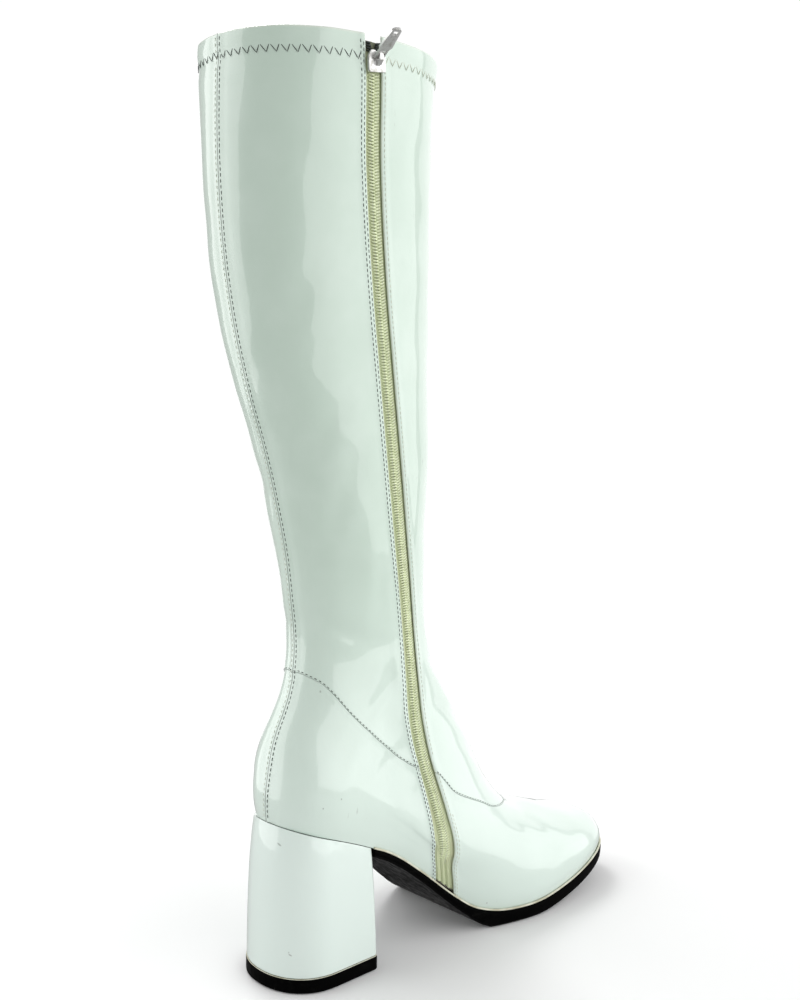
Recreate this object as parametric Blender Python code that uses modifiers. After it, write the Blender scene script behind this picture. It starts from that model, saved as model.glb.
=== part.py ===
# Knee-high go-go boot, left foot, with a block heel and a zip up the inner side.
# Sizes are in millimetres and become metres where a mesh is made.
# +Y runs to the toe, +X to the inner side with the zip, +Z up.
# The origin is the centre of the top lift's flat underside, on the floor.
import math

import bmesh
import bpy
from mathutils import Matrix, Vector

MM = 0.001

WALL = 1.4              # thickness of the upper
SEAT_GAP = 0.3          # clearance between pieces that are glued or stitched together
MARGIN = 9.0            # width of the upper's edge turned in under the insole
SOLE_GROW = 1.6         # the outsole stands out this far past the upper's edge
INSOLE_THICK = 2.0
SOLE_STATIONS = 40      # pairs of edge points along the outsole and the insole
INSOLE_INSET = 3.0
BREAST_Y = 26.0         # front face of the heel at its top
HEEL_CORNER = 2.5       # the heel's upright front edges are cut back this much
LIFT_HIGH = 7.3

TAPE_THICK = 0.7
TAPE_UNDER = 8.0        # how far a zip tape runs behind the upper
TAPE_TOP_Z = 452.5
COIL_HALF = 3.1
COIL_THICK = 1.5
COIL_TOP_Z = 438.2
ZIP_FOOT = 0.45         # ring number where the zip's strips start, over the turned-in edge

SLIDER_Z = 443.6
SLIDER_WIDE = 9.6
SLIDER_HIGH = 9.6
PULL_LEAN_DEG = 54.0    # the pull leans out from the line of the zip by this much
PULL_LONG = 17.3
PULL_THICK = 1.1

# Each ring of the upper is a closed outline from its back point to its front point.
# med and lat are the half-widths at the ball on the inner and the outer side, med_s and lat_s
# their places as shares of the ring's length, tip_x the sideways place of the front point, and
# bow is how far the ring follows the arch of the feather edge instead of a straight chord.
COLUMNS = ("back_y", "back_z", "front_y", "front_z", "bow", "heel_w", "med", "lat", "tip_x",
           "dip", "heel_s", "med_s", "lat_s", "heel_n", "front_n")
RINGS = (
    # feather edge of the foot, up to the toe box and the vamp
    (-22.8, 83.0, 221.0, 20.5, 1.00, 25.0, 43.0, 40.0, 11.0, 5.0, 0.12, 0.69, 0.62, 2.20, 2.25),
    (-23.4, 90.0, 220.3, 27.5, 1.00, 26.8, 44.3, 41.5, 11.0, 4.5, 0.12, 0.69, 0.62, 2.20, 2.30),
    (-23.2, 97.0, 213.0, 36.0, 0.95, 27.8, 43.5, 41.5, 10.0, 3.8, 0.12, 0.69, 0.62, 2.20, 2.25),
    (-22.3, 104.0, 196.0, 41.5, 0.86, 28.2, 41.5, 40.0, 8.5, 3.0, 0.13, 0.69, 0.62, 2.20, 2.15),
    (-21.0, 111.5, 171.0, 49.0, 0.74, 28.0, 38.7, 37.5, 6.5, 2.0, 0.14, 0.68, 0.62, 2.20, 2.10),
    (-19.0, 120.0, 145.0, 57.5, 0.58, 27.4, 35.0, 34.5, 4.5, 1.2, 0.17, 0.66, 0.62, 2.15, 2.05),
    # instep and ankle
    (-16.0, 128.0, 127.0, 76.0, 0.42, 26.7, 31.5, 31.5, 3.0, 0.6, 0.22, 0.63, 0.61, 2.10, 2.05),
    (-12.0, 136.5, 113.0, 101.0, 0.25, 26.0, 29.0, 29.0, 2.0, 0.3, 0.30, 0.60, 0.59, 2.10, 2.05),
    (-8.7, 145.0, 99.0, 124.0, 0.12, 25.6, 27.5, 27.5, 1.0, 0.0, 0.38, 0.56, 0.56, 2.10, 2.10),
    (-6.2, 156.0, 87.0, 143.0, 0.04, 25.6, 26.6, 26.6, 0.4, 0.0, 0.45, 0.53, 0.53, 2.10, 2.10),
    (-5.7, 170.0, 78.5, 164.0, 0.00, 26.4, 26.6, 26.6, 0.0, 0.0, 0.49, 0.51, 0.51, 2.10, 2.10),
    (-7.3, 187.0, 75.5, 187.0, 0.00, 28.0, 28.0, 28.0, 0.0, 0.0, 0.50, 0.50, 0.50, 2.10, 2.10),
    # shin and calf up to the collar
    (-12.0, 219.0, 74.2, 220.0, 0.00, 31.6, 31.6, 31.6, 0.0, 0.0, 0.50, 0.50, 0.50, 2.10, 2.10),
    (-22.3, 260.0, 73.7, 260.0, 0.00, 35.5, 35.5, 35.5, 0.0, 0.0, 0.50, 0.50, 0.50, 2.10, 2.10),
    (-36.8, 305.0, 72.3, 305.0, 0.00, 39.2, 39.2, 39.2, 0.0, 0.0, 0.50, 0.50, 0.50, 2.10, 2.10),
    (-46.5, 350.0, 70.0, 350.0, 0.00, 42.4, 42.4, 42.4, 0.0, 0.0, 0.50, 0.50, 0.50, 2.12, 2.12),
    (-51.0, 400.0, 68.7, 400.0, 0.00, 45.2, 45.2, 45.2, 0.0, 0.0, 0.50, 0.50, 0.50, 2.15, 2.15),
    (-51.2, 438.0, 68.1, 438.0, 0.00, 47.8, 47.8, 47.8, 0.0, 0.0, 0.50, 0.50, 0.50, 2.20, 2.20),
    (-50.9, 455.0, 68.0, 455.0, 0.00, 49.0, 49.0, 49.0, 0.0, 0.0, 0.50, 0.50, 0.50, 2.20, 2.20),
)
# Rows of the mesh, in ring numbers.
ROWS = [0.5 * k for k in range(21)] + [11.0, 12.0, 12.5, 13.0, 13.5, 14.0, 14.5, 15.0, 15.5, 16.0,
                                       17.0, 18.0]

# Feather edge, where upper and sole meet: place along the foot and height over the floor.
FEATHER = ((-22.8, 83.0), (-15.0, 80.2), (2.0, 74.0), (16.0, 68.2), (26.0, 63.6), (36.0, 58.8),
           (46.0, 52.6), (55.0, 45.8), (64.5, 38.2), (73.5, 30.4), (83.0, 22.4), (95.0, 14.0),
           (110.0, 9.2), (127.0, 8.0), (142.0, 8.6), (155.0, 10.2), (170.0, 12.6), (188.0, 15.8),
           (203.0, 18.2), (221.0, 20.5))
# Underside of the outsole; it lies flat on the floor under the ball.
SOLE_UNDER = ((26.0, 59.0), (36.0, 54.0), (46.0, 47.6), (55.0, 40.8), (64.5, 33.0), (73.5, 24.9),
              (83.0, 16.4), (90.0, 10.6), (97.0, 4.8), (104.0, 0.8), (109.0, 0.0), (136.0, 0.0),
              (145.0, 0.5), (155.0, 1.8), (170.0, 4.4), (188.0, 7.8), (203.0, 10.6), (224.0, 13.6))
# Centre line of the zip on the inner side: height and place along the foot.
ZIP_LINE = ((26.0, 77.0), (36.0, 74.5), (50.0, 71.2), (63.0, 69.4), (82.0, 65.0), (107.0, 57.5),
            (128.0, 53.2), (146.0, 52.0), (166.0, 50.2), (187.0, 46.2), (220.0, 37.7),
            (260.0, 28.5), (305.0, 18.9), (350.0, 10.2), (400.0, 3.6), (438.0, 1.0), (455.0, -1.0))
# Half-width of the zip's opening at a height.
ZIP_HALF = ((26.0, 7.6), (50.0, 7.4), (70.0, 6.0), (100.0, 5.0), (150.0, 5.2), (170.0, 5.4),
            (220.0, 4.9), (350.0, 4.5), (455.0, 4.4))
# Heel block: height share from lift to seat, back, half-width and front.
HEEL = ((0.00, -26.9, 28.4, 27.5), (0.35, -26.6, 27.8, 27.0), (0.65, -25.8, 27.0, 26.5),
        (0.85, -24.6, 26.1, 26.2), (1.00, -23.2, 25.2, 26.0))


def smooth_table(table, x):
    """Cubic Hermite through rows of a table, the first column being x."""
    last = len(table) - 1
    if x <= table[0][0]:
        return table[0][1]
    if x >= table[last][0]:
        return table[last][1]

    def slope(i):
        a, b = table[max(i - 1, 0)], table[min(i + 1, last)]
        return (b[1] - a[1]) / (b[0] - a[0])

    for i in range(last):
        (x0, v0), (x1, v1) = table[i], table[i + 1]
        if x <= x1:
            h = x1 - x0
            f = (x - x0) / h
            return ((2 * f ** 3 - 3 * f ** 2 + 1) * v0 + (f ** 3 - 2 * f ** 2 + f) * h * slope(i)
                    + (3 * f ** 2 - 2 * f ** 3) * v1 + (f ** 3 - f ** 2) * h * slope(i + 1))
    return table[last][1]


def over_feather(y, depth):
    """Height of a point that lies at a depth square to the feather edge's slope."""
    slope = (smooth_table(FEATHER, y + 0.5) - smooth_table(FEATHER, y - 0.5))
    return smooth_table(FEATHER, y) + depth * math.sqrt(1.0 + slope * slope)


def straight_table(table, x):
    """Straight lines through rows of a table."""
    if x <= table[0][0]:
        return table[0][1]
    for (x0, v0), (x1, v1) in zip(table, table[1:]):
        if x <= x1:
            return v0 + (v1 - v0) * (x - x0) / (x1 - x0)
    return table[-1][1]


def ring_at(t):
    """Named sizes of the ring at t, by a Catmull-Rom spline through the table's rows."""
    last = len(RINGS) - 1
    t = min(max(t, 0.0), float(last))
    i = min(int(t), last - 1)
    f = t - i
    sizes = {}
    for k, name in enumerate(COLUMNS):
        p1, p2 = RINGS[i][k], RINGS[i + 1][k]
        p0 = RINGS[i - 1][k] if i > 0 else 2 * p1 - p2
        p3 = RINGS[i + 2][k] if i + 2 <= last else 2 * p2 - p1
        sizes[name] = 0.5 * (2 * p1 + (p2 - p0) * f + (2 * p0 - 5 * p1 + 4 * p2 - p3) * f * f
                             + (3 * p1 - p0 - 3 * p2 + p3) * f ** 3)
    return sizes


HEEL_TURN, BALL_TURN = 0.14, 0.34    # turns where the heel's curve ends and the toe's begins
WAIST_INNER, WAIST_OUTER = 1.3, 0.6  # shares of a ring's dip taken on each side


def ring_point(ring, turn):
    """Point of a ring: turn 0 is the back, 0.25 the inner side, 0.5 the front."""
    turn = turn % 1.0
    inner = turn <= 0.5
    side = 1.0 if inner else -1.0
    a = turn if inner else 1.0 - turn
    ball = ring["med"] if inner else ring["lat"]
    ball_s = ring["med_s"] if inner else ring["lat_s"]
    if a < HEEL_TURN:
        q = a / HEEL_TURN * math.pi / 2
        s = ring["heel_s"] * (1 - abs(math.cos(q)) ** (2 / ring["heel_n"]))
        x = side * ring["heel_w"] * abs(math.sin(q)) ** (2 / ring["heel_n"])
    elif a > BALL_TURN:
        q = (a - BALL_TURN) / (0.5 - BALL_TURN) * math.pi / 2
        s = ball_s + (1 - ball_s) * abs(math.sin(q)) ** (2 / ring["front_n"])
        round_off = max(math.cos(q), 0.0) ** (2 / ring["front_n"])
        x = ring["tip_x"] + (side * ball - ring["tip_x"]) * round_off
    else:
        q = (a - HEEL_TURN) / (BALL_TURN - HEEL_TURN)
        s = ring["heel_s"] + (ball_s - ring["heel_s"]) * q
        ease = q * q * (3 - 2 * q)
        waist = ring["dip"] * (WAIST_INNER if inner else WAIST_OUTER) * math.sin(math.pi * q) ** 2
        x = side * (ring["heel_w"] * (1 - ease) + ball * ease - waist)
    y = ring["back_y"] + s * (ring["front_y"] - ring["back_y"])
    z = ring["back_z"] + s * (ring["front_z"] - ring["back_z"])
    (y0, z0), (y1, z1) = FEATHER[0], FEATHER[-1]
    sag = smooth_table(FEATHER, y0 + s * (y1 - y0)) - (z0 + s * (z1 - z0))
    return Vector((x, y, z + ring["bow"] * sag))


STEPS = 480
RING_CACHE = {}


def ring_path(t):
    """Points of ring t over two turns and the running length along them."""
    key = round(t, 6)
    if key not in RING_CACHE:
        ring = ring_at(t)
        points = [ring_point(ring, k / STEPS) for k in range(STEPS)]
        points = points + points + [points[0]]
        length = [0.0]
        for a, b in zip(points, points[1:]):
            length.append(length[-1] + (b - a).length)
        RING_CACHE[key] = (points, length)
    return RING_CACHE[key]


def along(path, distance):
    """Point at a running length of a ring."""
    points, length = path
    low, high = 0, len(length) - 1
    while high - low > 1:
        mid = (low + high) // 2
        if length[mid] <= distance:
            low = mid
        else:
            high = mid
    f = (distance - length[low]) / (length[high] - length[low])
    return points[low].lerp(points[high], f)


def zip_length(t):
    """Running length at which ring t crosses the zip's centre line, on the inner side."""
    points, length = ring_path(t)
    for k in range(STEPS // 2):
        a, b = points[k], points[k + 1]
        ga = a.y - smooth_table(ZIP_LINE, a.z)
        gb = b.y - smooth_table(ZIP_LINE, b.z)
        if ga <= 0.0 < gb:
            return length[k] + (length[k + 1] - length[k]) * (-ga) / (gb - ga)
    raise ValueError("the zip's line misses a ring")


def surface(t, offset):
    """Point of the upper's outer face on ring t, at a distance forward of the zip's centre."""
    path = ring_path(t)
    whole = path[1][STEPS]
    distance = zip_length(t) + offset
    return along(path, distance if distance >= 0.0 else distance + whole)


def outward(t, offset):
    """Outward direction of the upper's face at the same place."""
    low, high = max(t - 0.05, 0.0), min(t + 0.05, float(len(RINGS) - 1))
    up = surface(high, offset) - surface(low, offset)
    forward = surface(t, offset + 1.0) - surface(t, offset - 1.0)
    normal = forward.cross(up).normalized()
    return normal if normal.x > 0 else -normal


COLLECTION = bpy.data.collections.new("go_go_boot")


def clear_scene():
    for item in list(bpy.data.objects):
        bpy.data.objects.remove(item, do_unlink=True)
    bpy.context.scene.collection.children.link(COLLECTION)


def material(name, colour, roughness, metallic=0.0, coat=0.0):
    made = bpy.data.materials.new(name)
    made.use_nodes = True
    shader = made.node_tree.nodes["Principled BSDF"]
    shader.inputs["Base Color"].default_value = (*colour, 1.0)
    shader.inputs["Roughness"].default_value = roughness
    shader.inputs["Metallic"].default_value = metallic
    shader.inputs["Coat Weight"].default_value = coat
    made.diffuse_color = (*colour, 1.0)
    return made


def mesh_object(name, points, faces, look, sharp_deg=40.0):
    """Object from points in millimetres; points that coincide become one."""
    seen, index, kept = {}, [], []
    for p in points:
        key = (round(p[0], 4), round(p[1], 4), round(p[2], 4))
        if key not in seen:
            seen[key] = len(kept)
            kept.append(Vector(p) * MM)
        index.append(seen[key])
    clean = []
    for face in faces:
        corners = []
        for k in face:
            if index[k] not in corners:
                corners.append(index[k])
        if len(corners) >= 3:
            clean.append(corners)
    mesh = bpy.data.meshes.new(name)
    mesh.from_pydata(kept, [], clean)
    work = bmesh.new()
    work.from_mesh(mesh)
    bmesh.ops.recalc_face_normals(work, faces=work.faces)
    for face in work.faces:
        face.smooth = True
    work.to_mesh(mesh)
    work.free()
    mesh.set_sharp_from_angle(angle=math.radians(sharp_deg))
    mesh.materials.append(look)
    made = bpy.data.objects.new(name, mesh)
    COLLECTION.objects.link(made)
    return made


def plate(name, levels, across, look, floor, roof, sharp_deg=40.0):
    """Closed solid from levels of left and right points, bottom level first.

    Each level is a list of (inner, outer) point pairs from back to front. The bottom and the
    top are closed by rows across the pairs, at the heights that floor and roof give.
    """
    points, faces = [], []
    rows = len(levels[0])

    def edge(level):
        line = [pair[0] for pair in level]
        inner, outer = level[-1]
        line += [inner.lerp(outer, j / across) for j in range(1, across)]
        line += [pair[1] for pair in reversed(level)]
        inner, outer = level[0]
        line += [outer.lerp(inner, j / across) for j in range(1, across)]
        return line

    for level in levels:
        line = edge(level)
        start = len(points)
        points += line
        if start:
            count = len(line)
            for k in range(count):
                n = (k + 1) % count
                faces.append((start - count + k, start - count + n, start + n, start + k))
    for level, height in ((levels[0], floor), (levels[-1], roof)):
        start = len(points)
        for i, (inner, outer) in enumerate(level):
            for j in range(across + 1):
                p = inner.lerp(outer, j / across)
                if 0 < j < across and 0 < i < rows - 1:
                    p.z = height(p.y)
                points.append(p)
        for i in range(rows - 1):
            for j in range(across):
                a = start + i * (across + 1) + j
                faces.append((a, a + 1, a + across + 2, a + across + 1))
    return mesh_object(name, points, faces, look, sharp_deg)


def sheet(name, rows, columns, outer_depth, inner_depth, look, sharp_deg=50.0):
    """Closed strip along the zip between two depths under the upper's outer face."""
    points, faces = [], []
    wide = len(columns(rows[0]))
    for t in rows:
        for offset in columns(t):
            p, n = surface(t, offset), outward(t, offset)
            points += [p - n * outer_depth, p - n * inner_depth]

    def at(i, j, side):
        return 2 * (i * wide + j) + side

    high = len(rows)
    for i in range(high - 1):
        for j in range(wide - 1):
            for side in (0, 1):
                faces.append((at(i, j, side), at(i, j + 1, side), at(i + 1, j + 1, side),
                              at(i + 1, j, side)))
        for j in (0, wide - 1):
            faces.append((at(i, j, 0), at(i, j, 1), at(i + 1, j, 1), at(i + 1, j, 0)))
    for j in range(wide - 1):
        for i in (0, high - 1):
            faces.append((at(i, j, 0), at(i, j, 1), at(i, j + 1, 1), at(i, j + 1, 0)))
    return mesh_object(name, points, faces, look, sharp_deg)


def apply_modifiers(thing):
    """Turns the modified shape into the object's own mesh."""
    depsgraph = bpy.context.evaluated_depsgraph_get()
    baked = bpy.data.meshes.new_from_object(thing.evaluated_get(depsgraph))
    thing.modifiers.clear()
    thing.data = baked


FRONT_COLUMNS, OUTER_COLUMNS, REAR_COLUMNS = 15, 27, 11


def upper_columns(t):
    """Distances along ring t of the upper's columns, from the zip's front edge round to its rear."""
    points, length = ring_path(t)
    whole, front = length[STEPS], length[STEPS // 2]
    centre = zip_length(t)
    half = straight_table(ZIP_HALF, along((points, length), centre).z)
    start, end = centre + half, whole + centre - half
    near = TAPE_UNDER + 0.6
    line = [start]
    line += [start + near + (front - start - near) * k / (FRONT_COLUMNS - 1)
             for k in range(FRONT_COLUMNS - 1)]
    line += [front + (whole - front) * k / OUTER_COLUMNS for k in range(OUTER_COLUMNS)]
    line += [whole + (end - near - whole) * k / (REAR_COLUMNS - 1) for k in range(REAR_COLUMNS)]
    line += [end]
    return line


SPINE = ((0.0, 20.0), (5.0, 150.0))     # ends of a line through the middle of the sole


def feather_loop(inset, count_from):
    """Plan of the feather edge moved inward, at the given running lengths."""
    path = ring_path(0.0)
    whole = path[1][STEPS]
    (x0, y0), (x1, y1) = SPINE
    loop = []
    for distance in count_from:
        here = along(path, distance % whole)
        ahead = along(path, (distance + 1.5) % whole)
        behind = along(path, (distance - 1.5) % whole)
        tangent = Vector((ahead.x - behind.x, ahead.y - behind.y)).normalized()
        normal = Vector((-tangent.y, tangent.x))
        share = min(max((here.y - y0) / (y1 - y0), 0.0), 1.0)
        inward = Vector((x0 + share * (x1 - x0) - here.x, y0 + share * (y1 - y0) - here.y))
        if normal.dot(inward) < 0:
            normal = -normal
        x, y = here.x + normal.x * inset, here.y + normal.y * inset
        loop.append(Vector((x, y, smooth_table(FEATHER, y))))
    return loop


def build_upper(look):
    """Shaft, vamp and quarters as one wall, open at the collar, the zip and underneath."""
    rows = []
    base = upper_columns(0.0)
    for inset in (MARGIN, MARGIN / 2):
        rows.append(feather_loop(inset, base))
    for t in ROWS:
        path = ring_path(t)
        rows.append([along(path, distance) for distance in upper_columns(t)])
    wide = len(base)
    points = [p for row in rows for p in row]
    faces = []
    for i in range(len(rows) - 1):
        for j in range(wide - 1):
            a = i * wide + j
            faces.append((a, a + 1, a + wide + 1, a + wide))
    upper = mesh_object("upper", points, faces, look, 60.0)
    middle = ring_at(len(RINGS) - 1.0)
    centre = Vector((0.0, (middle["back_y"] + middle["front_y"]) / 2, middle["back_z"])) * MM
    upper.data.update()
    sample = max(upper.data.polygons, key=lambda face: face.center.z)
    if sample.normal.dot(sample.center - centre) < 0:
        upper.data.flip_normals()
    wall = upper.modifiers.new("wall", "SOLIDIFY")
    wall.thickness = WALL * MM
    wall.offset = -1.0
    wall.use_even_offset = True
    wall.use_quality_normals = True
    wall.use_rim = True
    apply_modifiers(upper)
    return upper


def side_points(side, start_y, grow):
    """Plan of one side of the feather edge, moved outward, from start_y to the toe's tip."""
    path = ring_path(0.0)
    whole, front = path[1][STEPS], path[1][STEPS // 2]
    fine = 4 * SOLE_STATIONS
    shares = [k / fine for k in range(fine + 1)]
    if side > 0:
        lengths = [front * share for share in shares]
    else:
        lengths = [whole - (whole - front) * share for share in shares]
    line = feather_loop(-grow, lengths)
    kept = [p for p in line if start_y is None or p.y > start_y]
    cut = len(line) - len(kept)
    if cut:
        a, b = line[cut - 1], line[cut]
        kept.insert(0, a.lerp(b, (start_y - a.y) / (b.y - a.y)))
    run = [0.0]
    for a, b in zip(kept, kept[1:]):
        run.append(run[-1] + (b - a).length)
    out = []
    for k in range(SOLE_STATIONS + 1):
        want = run[-1] * k / SOLE_STATIONS
        i = max(j for j in range(len(run)) if run[j] <= want + 1e-9)
        i = min(i, len(run) - 2)
        out.append(kept[i].lerp(kept[i + 1], (want - run[i]) / (run[i + 1] - run[i])))
    return out


def outline_level(start_y, grow, height):
    """Level of a plate: pairs of inner and outer points at the heights that height gives.

    With no start_y the level runs over the whole length and closes in a point at the back.
    """
    inner = side_points(1, start_y, grow)
    outer = side_points(-1, start_y, grow)
    tip = inner[-1].lerp(outer[-1], 0.5)
    inner[-1], outer[-1] = tip.copy(), tip.copy()
    if start_y is None:
        heel = inner[0].lerp(outer[0], 0.5)
        inner[0], outer[0] = heel.copy(), heel.copy()
    return [(Vector((a.x, a.y, height(a.y))), Vector((b.x, b.y, height(b.y))))
            for a, b in zip(inner, outer)]


def build_insole(look):
    """Insole lying on the turned-in edge of the upper, over the whole length."""
    under = WALL + 1.8 * SEAT_GAP

    def low(y):
        return over_feather(y, under)

    def high(y):
        return over_feather(y, under + INSOLE_THICK)
    levels = [outline_level(None, -INSOLE_INSET, low), outline_level(None, -INSOLE_INSET, high)]
    return plate("insole", levels, 3, look, floor=low, roof=high)


def build_outsole(look):
    """Black outsole from the heel's front face to the toe, with a raised middle inside."""
    start = BREAST_Y + 2 * SEAT_GAP

    def top(y):
        return over_feather(y, -SEAT_GAP)

    def raised(y):
        return over_feather(y, WALL - 0.2)

    def under(y):
        return max(smooth_table(SOLE_UNDER, y), 0.0)

    def rise(y):
        return under(y) + 1.2
    middle = -(MARGIN + 2.0)
    levels = [outline_level(start, SOLE_GROW - 1.4, under),
              outline_level(start, SOLE_GROW - 0.2, rise),
              outline_level(start, SOLE_GROW, lambda y: top(y) - 2.0),
              outline_level(start, SOLE_GROW - 0.3, top),
              outline_level(start, -MARGIN / 2, top),
              outline_level(start, middle, top),
              outline_level(start, middle - 0.6, raised)]
    return plate("outsole", levels, 4, look, floor=under, roof=raised, sharp_deg=35.0)


def heel_pairs(back, half, front, height):
    """D-shaped level of the heel: round at the back, straight sides, flat front face."""
    count, power = 12, 2.15
    spots = []
    for k in range(count + 1):
        q = k / count * math.pi / 2
        spots.append((half * math.sin(q) ** (2 / power), back * math.cos(q) ** (2 / power)))
    cut = HEEL_CORNER * (1 - math.sqrt(0.5))
    spots += [(half, (front - HEEL_CORNER) / 2), (half, front - HEEL_CORNER),
              (half - cut, front - cut), (half - HEEL_CORNER, front)]
    return [(Vector((x, y, height(y))), Vector((-x, y, height(y)))) for x, y in spots]


def build_heel(look):
    """Heel block, flared a little from the seat to the lift."""
    levels = []
    low = LIFT_HIGH + SEAT_GAP

    def seat(y):
        return over_feather(y, -SEAT_GAP)

    for share in (0.0, 0.02, 0.2, 0.4, 0.6, 0.75, 0.88, 0.96, 1.0):
        back, half, front = (smooth_table([(row[0], row[k]) for row in HEEL], share)
                             for k in (1, 2, 3))
        trim = 0.4 if share == 0.0 else 0.0

        def height(y, share=share):
            return low + (seat(y) - low) * share
        levels.append(heel_pairs(back + trim, half - trim, front - trim, height))
    return plate("heel", levels, 4, look, floor=lambda y: low, roof=seat)


def build_lift(look):
    """Top lift of the heel; its underside is the flat rest on the floor."""
    back, half, front = HEEL[0][1], HEEL[0][2], HEEL[0][3]
    levels = []
    for height, grow in ((0.0, -0.5), (0.6, 0.3), (LIFT_HIGH - 0.4, 0.3), (LIFT_HIGH, 0.0)):
        levels.append(heel_pairs(back - grow, half + grow, front + grow, lambda y, h=height: h))
    return plate("top_lift", levels, 3, look, floor=lambda y: 0.0, roof=lambda y: LIFT_HIGH)


def row_at_height(height):
    """Ring number over the ankle whose zip point lies at a height."""
    low, high = 8.0, float(len(RINGS) - 1)
    for _ in range(40):
        mid = (low + high) / 2
        if surface(mid, 0.0).z < height:
            low = mid
        else:
            high = mid
    return (low + high) / 2


def zip_rows(top_z):
    """Rows of the zip's strips: the upper's rows from the feather edge to a height."""
    end = row_at_height(top_z)
    between = [t for t in ROWS if ZIP_FOOT + 0.2 < t < end - 0.1]
    return [ZIP_FOOT] + between + [end]


def half_at(t):
    return straight_table(ZIP_HALF, surface(t, 0.0).z)


def build_zip(tape_look, coil_look):
    """Two tapes behind the edges of the opening, and the closed coil between them."""
    depth = WALL + SEAT_GAP
    rows = zip_rows(TAPE_TOP_Z)
    meet = 0.25     # each tape stops this far from the zip's centre line

    def front(t):
        half = half_at(t)
        return [meet, half, half + TAPE_UNDER]

    def rear(t):
        half = half_at(t)
        return [-half - TAPE_UNDER, -half, -meet]
    tapes = [sheet("zip_tape_front", rows, front, depth, depth + TAPE_THICK, tape_look),
             sheet("zip_tape_rear", rows, rear, depth, depth + TAPE_THICK, tape_look)]

    def middle(t):
        return [-COIL_HALF, 0.0, COIL_HALF]
    coil = sheet("zip_coil", zip_rows(COIL_TOP_Z), middle, depth - SEAT_GAP - COIL_THICK,
                 depth - SEAT_GAP, coil_look)
    return tapes + [coil]


def zip_frame(height):
    """Frame on the zip at a height: X forward, Y up along the zip, Z out of the boot."""
    t = row_at_height(height)
    out = outward(t, 0.0)
    up = (surface(t + 0.05, 0.0) - surface(t - 0.05, 0.0)).normalized()
    forward = up.cross(out).normalized()
    up = out.cross(forward).normalized()
    frame = Matrix((forward, up, out)).transposed().to_4x4()
    frame.translation = surface(t, 0.0) * MM
    return frame


def block(name, size, place):
    """Box in millimetres, for cutting a hole."""
    bpy.ops.mesh.primitive_cube_add(size=1.0)
    box = bpy.context.object
    box.name = name
    box.data.transform(Matrix.Diagonal((size[0] * MM, size[1] * MM, size[2] * MM, 1.0)))
    box.data.transform(Matrix.Translation(Vector(place) * MM))
    return box


def prism(name, outline, low, high, look):
    """Solid with a flat outline, from one height to another."""
    count = len(outline)
    points = [Vector((x, y, low)) for x, y in outline] + [Vector((x, y, high)) for x, y in outline]
    faces = [tuple(range(count)), tuple(range(count, 2 * count))]
    faces += [(k, (k + 1) % count, (k + 1) % count + count, k + count) for k in range(count)]
    return mesh_object(name, points, faces, look)


def cut_solid(base, cutter):
    """Takes the cutter's shape out of a solid."""
    step = base.modifiers.new("cut", "BOOLEAN")
    step.operation, step.solver, step.object = "DIFFERENCE", "EXACT", cutter
    apply_modifiers(base)
    bpy.data.objects.remove(cutter, do_unlink=True)


PLATE_OUT = 0.7         # underside of the slider's plate over the upper's face
PLATE_THICK = 1.4
PIVOT_UP = 1.6          # the pull's axis lies this far over the slider's middle
PIVOT_OUT = PLATE_OUT + PLATE_THICK + 1.15
BRIDGE_WIDE = 2.4
EYE_HALF, EYE_BAR, EYE_END = 1.75, 0.65, 4.0    # hole in the pull that goes round the bridge


def build_slider(look):
    """Slider: shield-shaped plate with a bridge that holds the pull."""
    w, h = SLIDER_WIDE / 2, SLIDER_HIGH / 2
    shield = [(-w + 0.6, -h), (w - 0.6, -h), (w, -h + 0.8), (w, h - 2.6), (w - 1.6, h), (1.2, h),
              (0.0, h - 0.9), (-1.2, h), (-w + 1.6, h), (-w, h - 2.6), (-w, -h + 0.8)]
    slider = prism("zip_slider", shield, PLATE_OUT, PLATE_OUT + PLATE_THICK, look)
    # side view of the bridge round the pull's axis: (along the zip, out of the boot)
    side_view = [(2.3, -1.3), (2.3, 1.9), (1.9, 2.3), (-1.4, 2.3), (-3.4, 0.4), (-3.6, -1.3)]
    half = BRIDGE_WIDE / 2
    bridge = prism("bridge", side_view, -half, half, look)
    turn = Matrix(((0, 0, 1), (1, 0, 0), (0, 1, 0))).to_4x4()
    turn.translation = Vector((0, PIVOT_UP, PIVOT_OUT)) * MM
    bridge.data.transform(turn)
    window = block("bridge_window", (4.0, 2.8, 2.3), (0, PIVOT_UP, PIVOT_OUT))
    cut_solid(bridge, window)
    step = slider.modifiers.new("join", "BOOLEAN")
    step.operation, step.solver, step.object = "UNION", "EXACT", bridge
    apply_modifiers(slider)
    bpy.data.objects.remove(bridge, do_unlink=True)
    slider.matrix_world = zip_frame(SLIDER_Z)
    return slider


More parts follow.
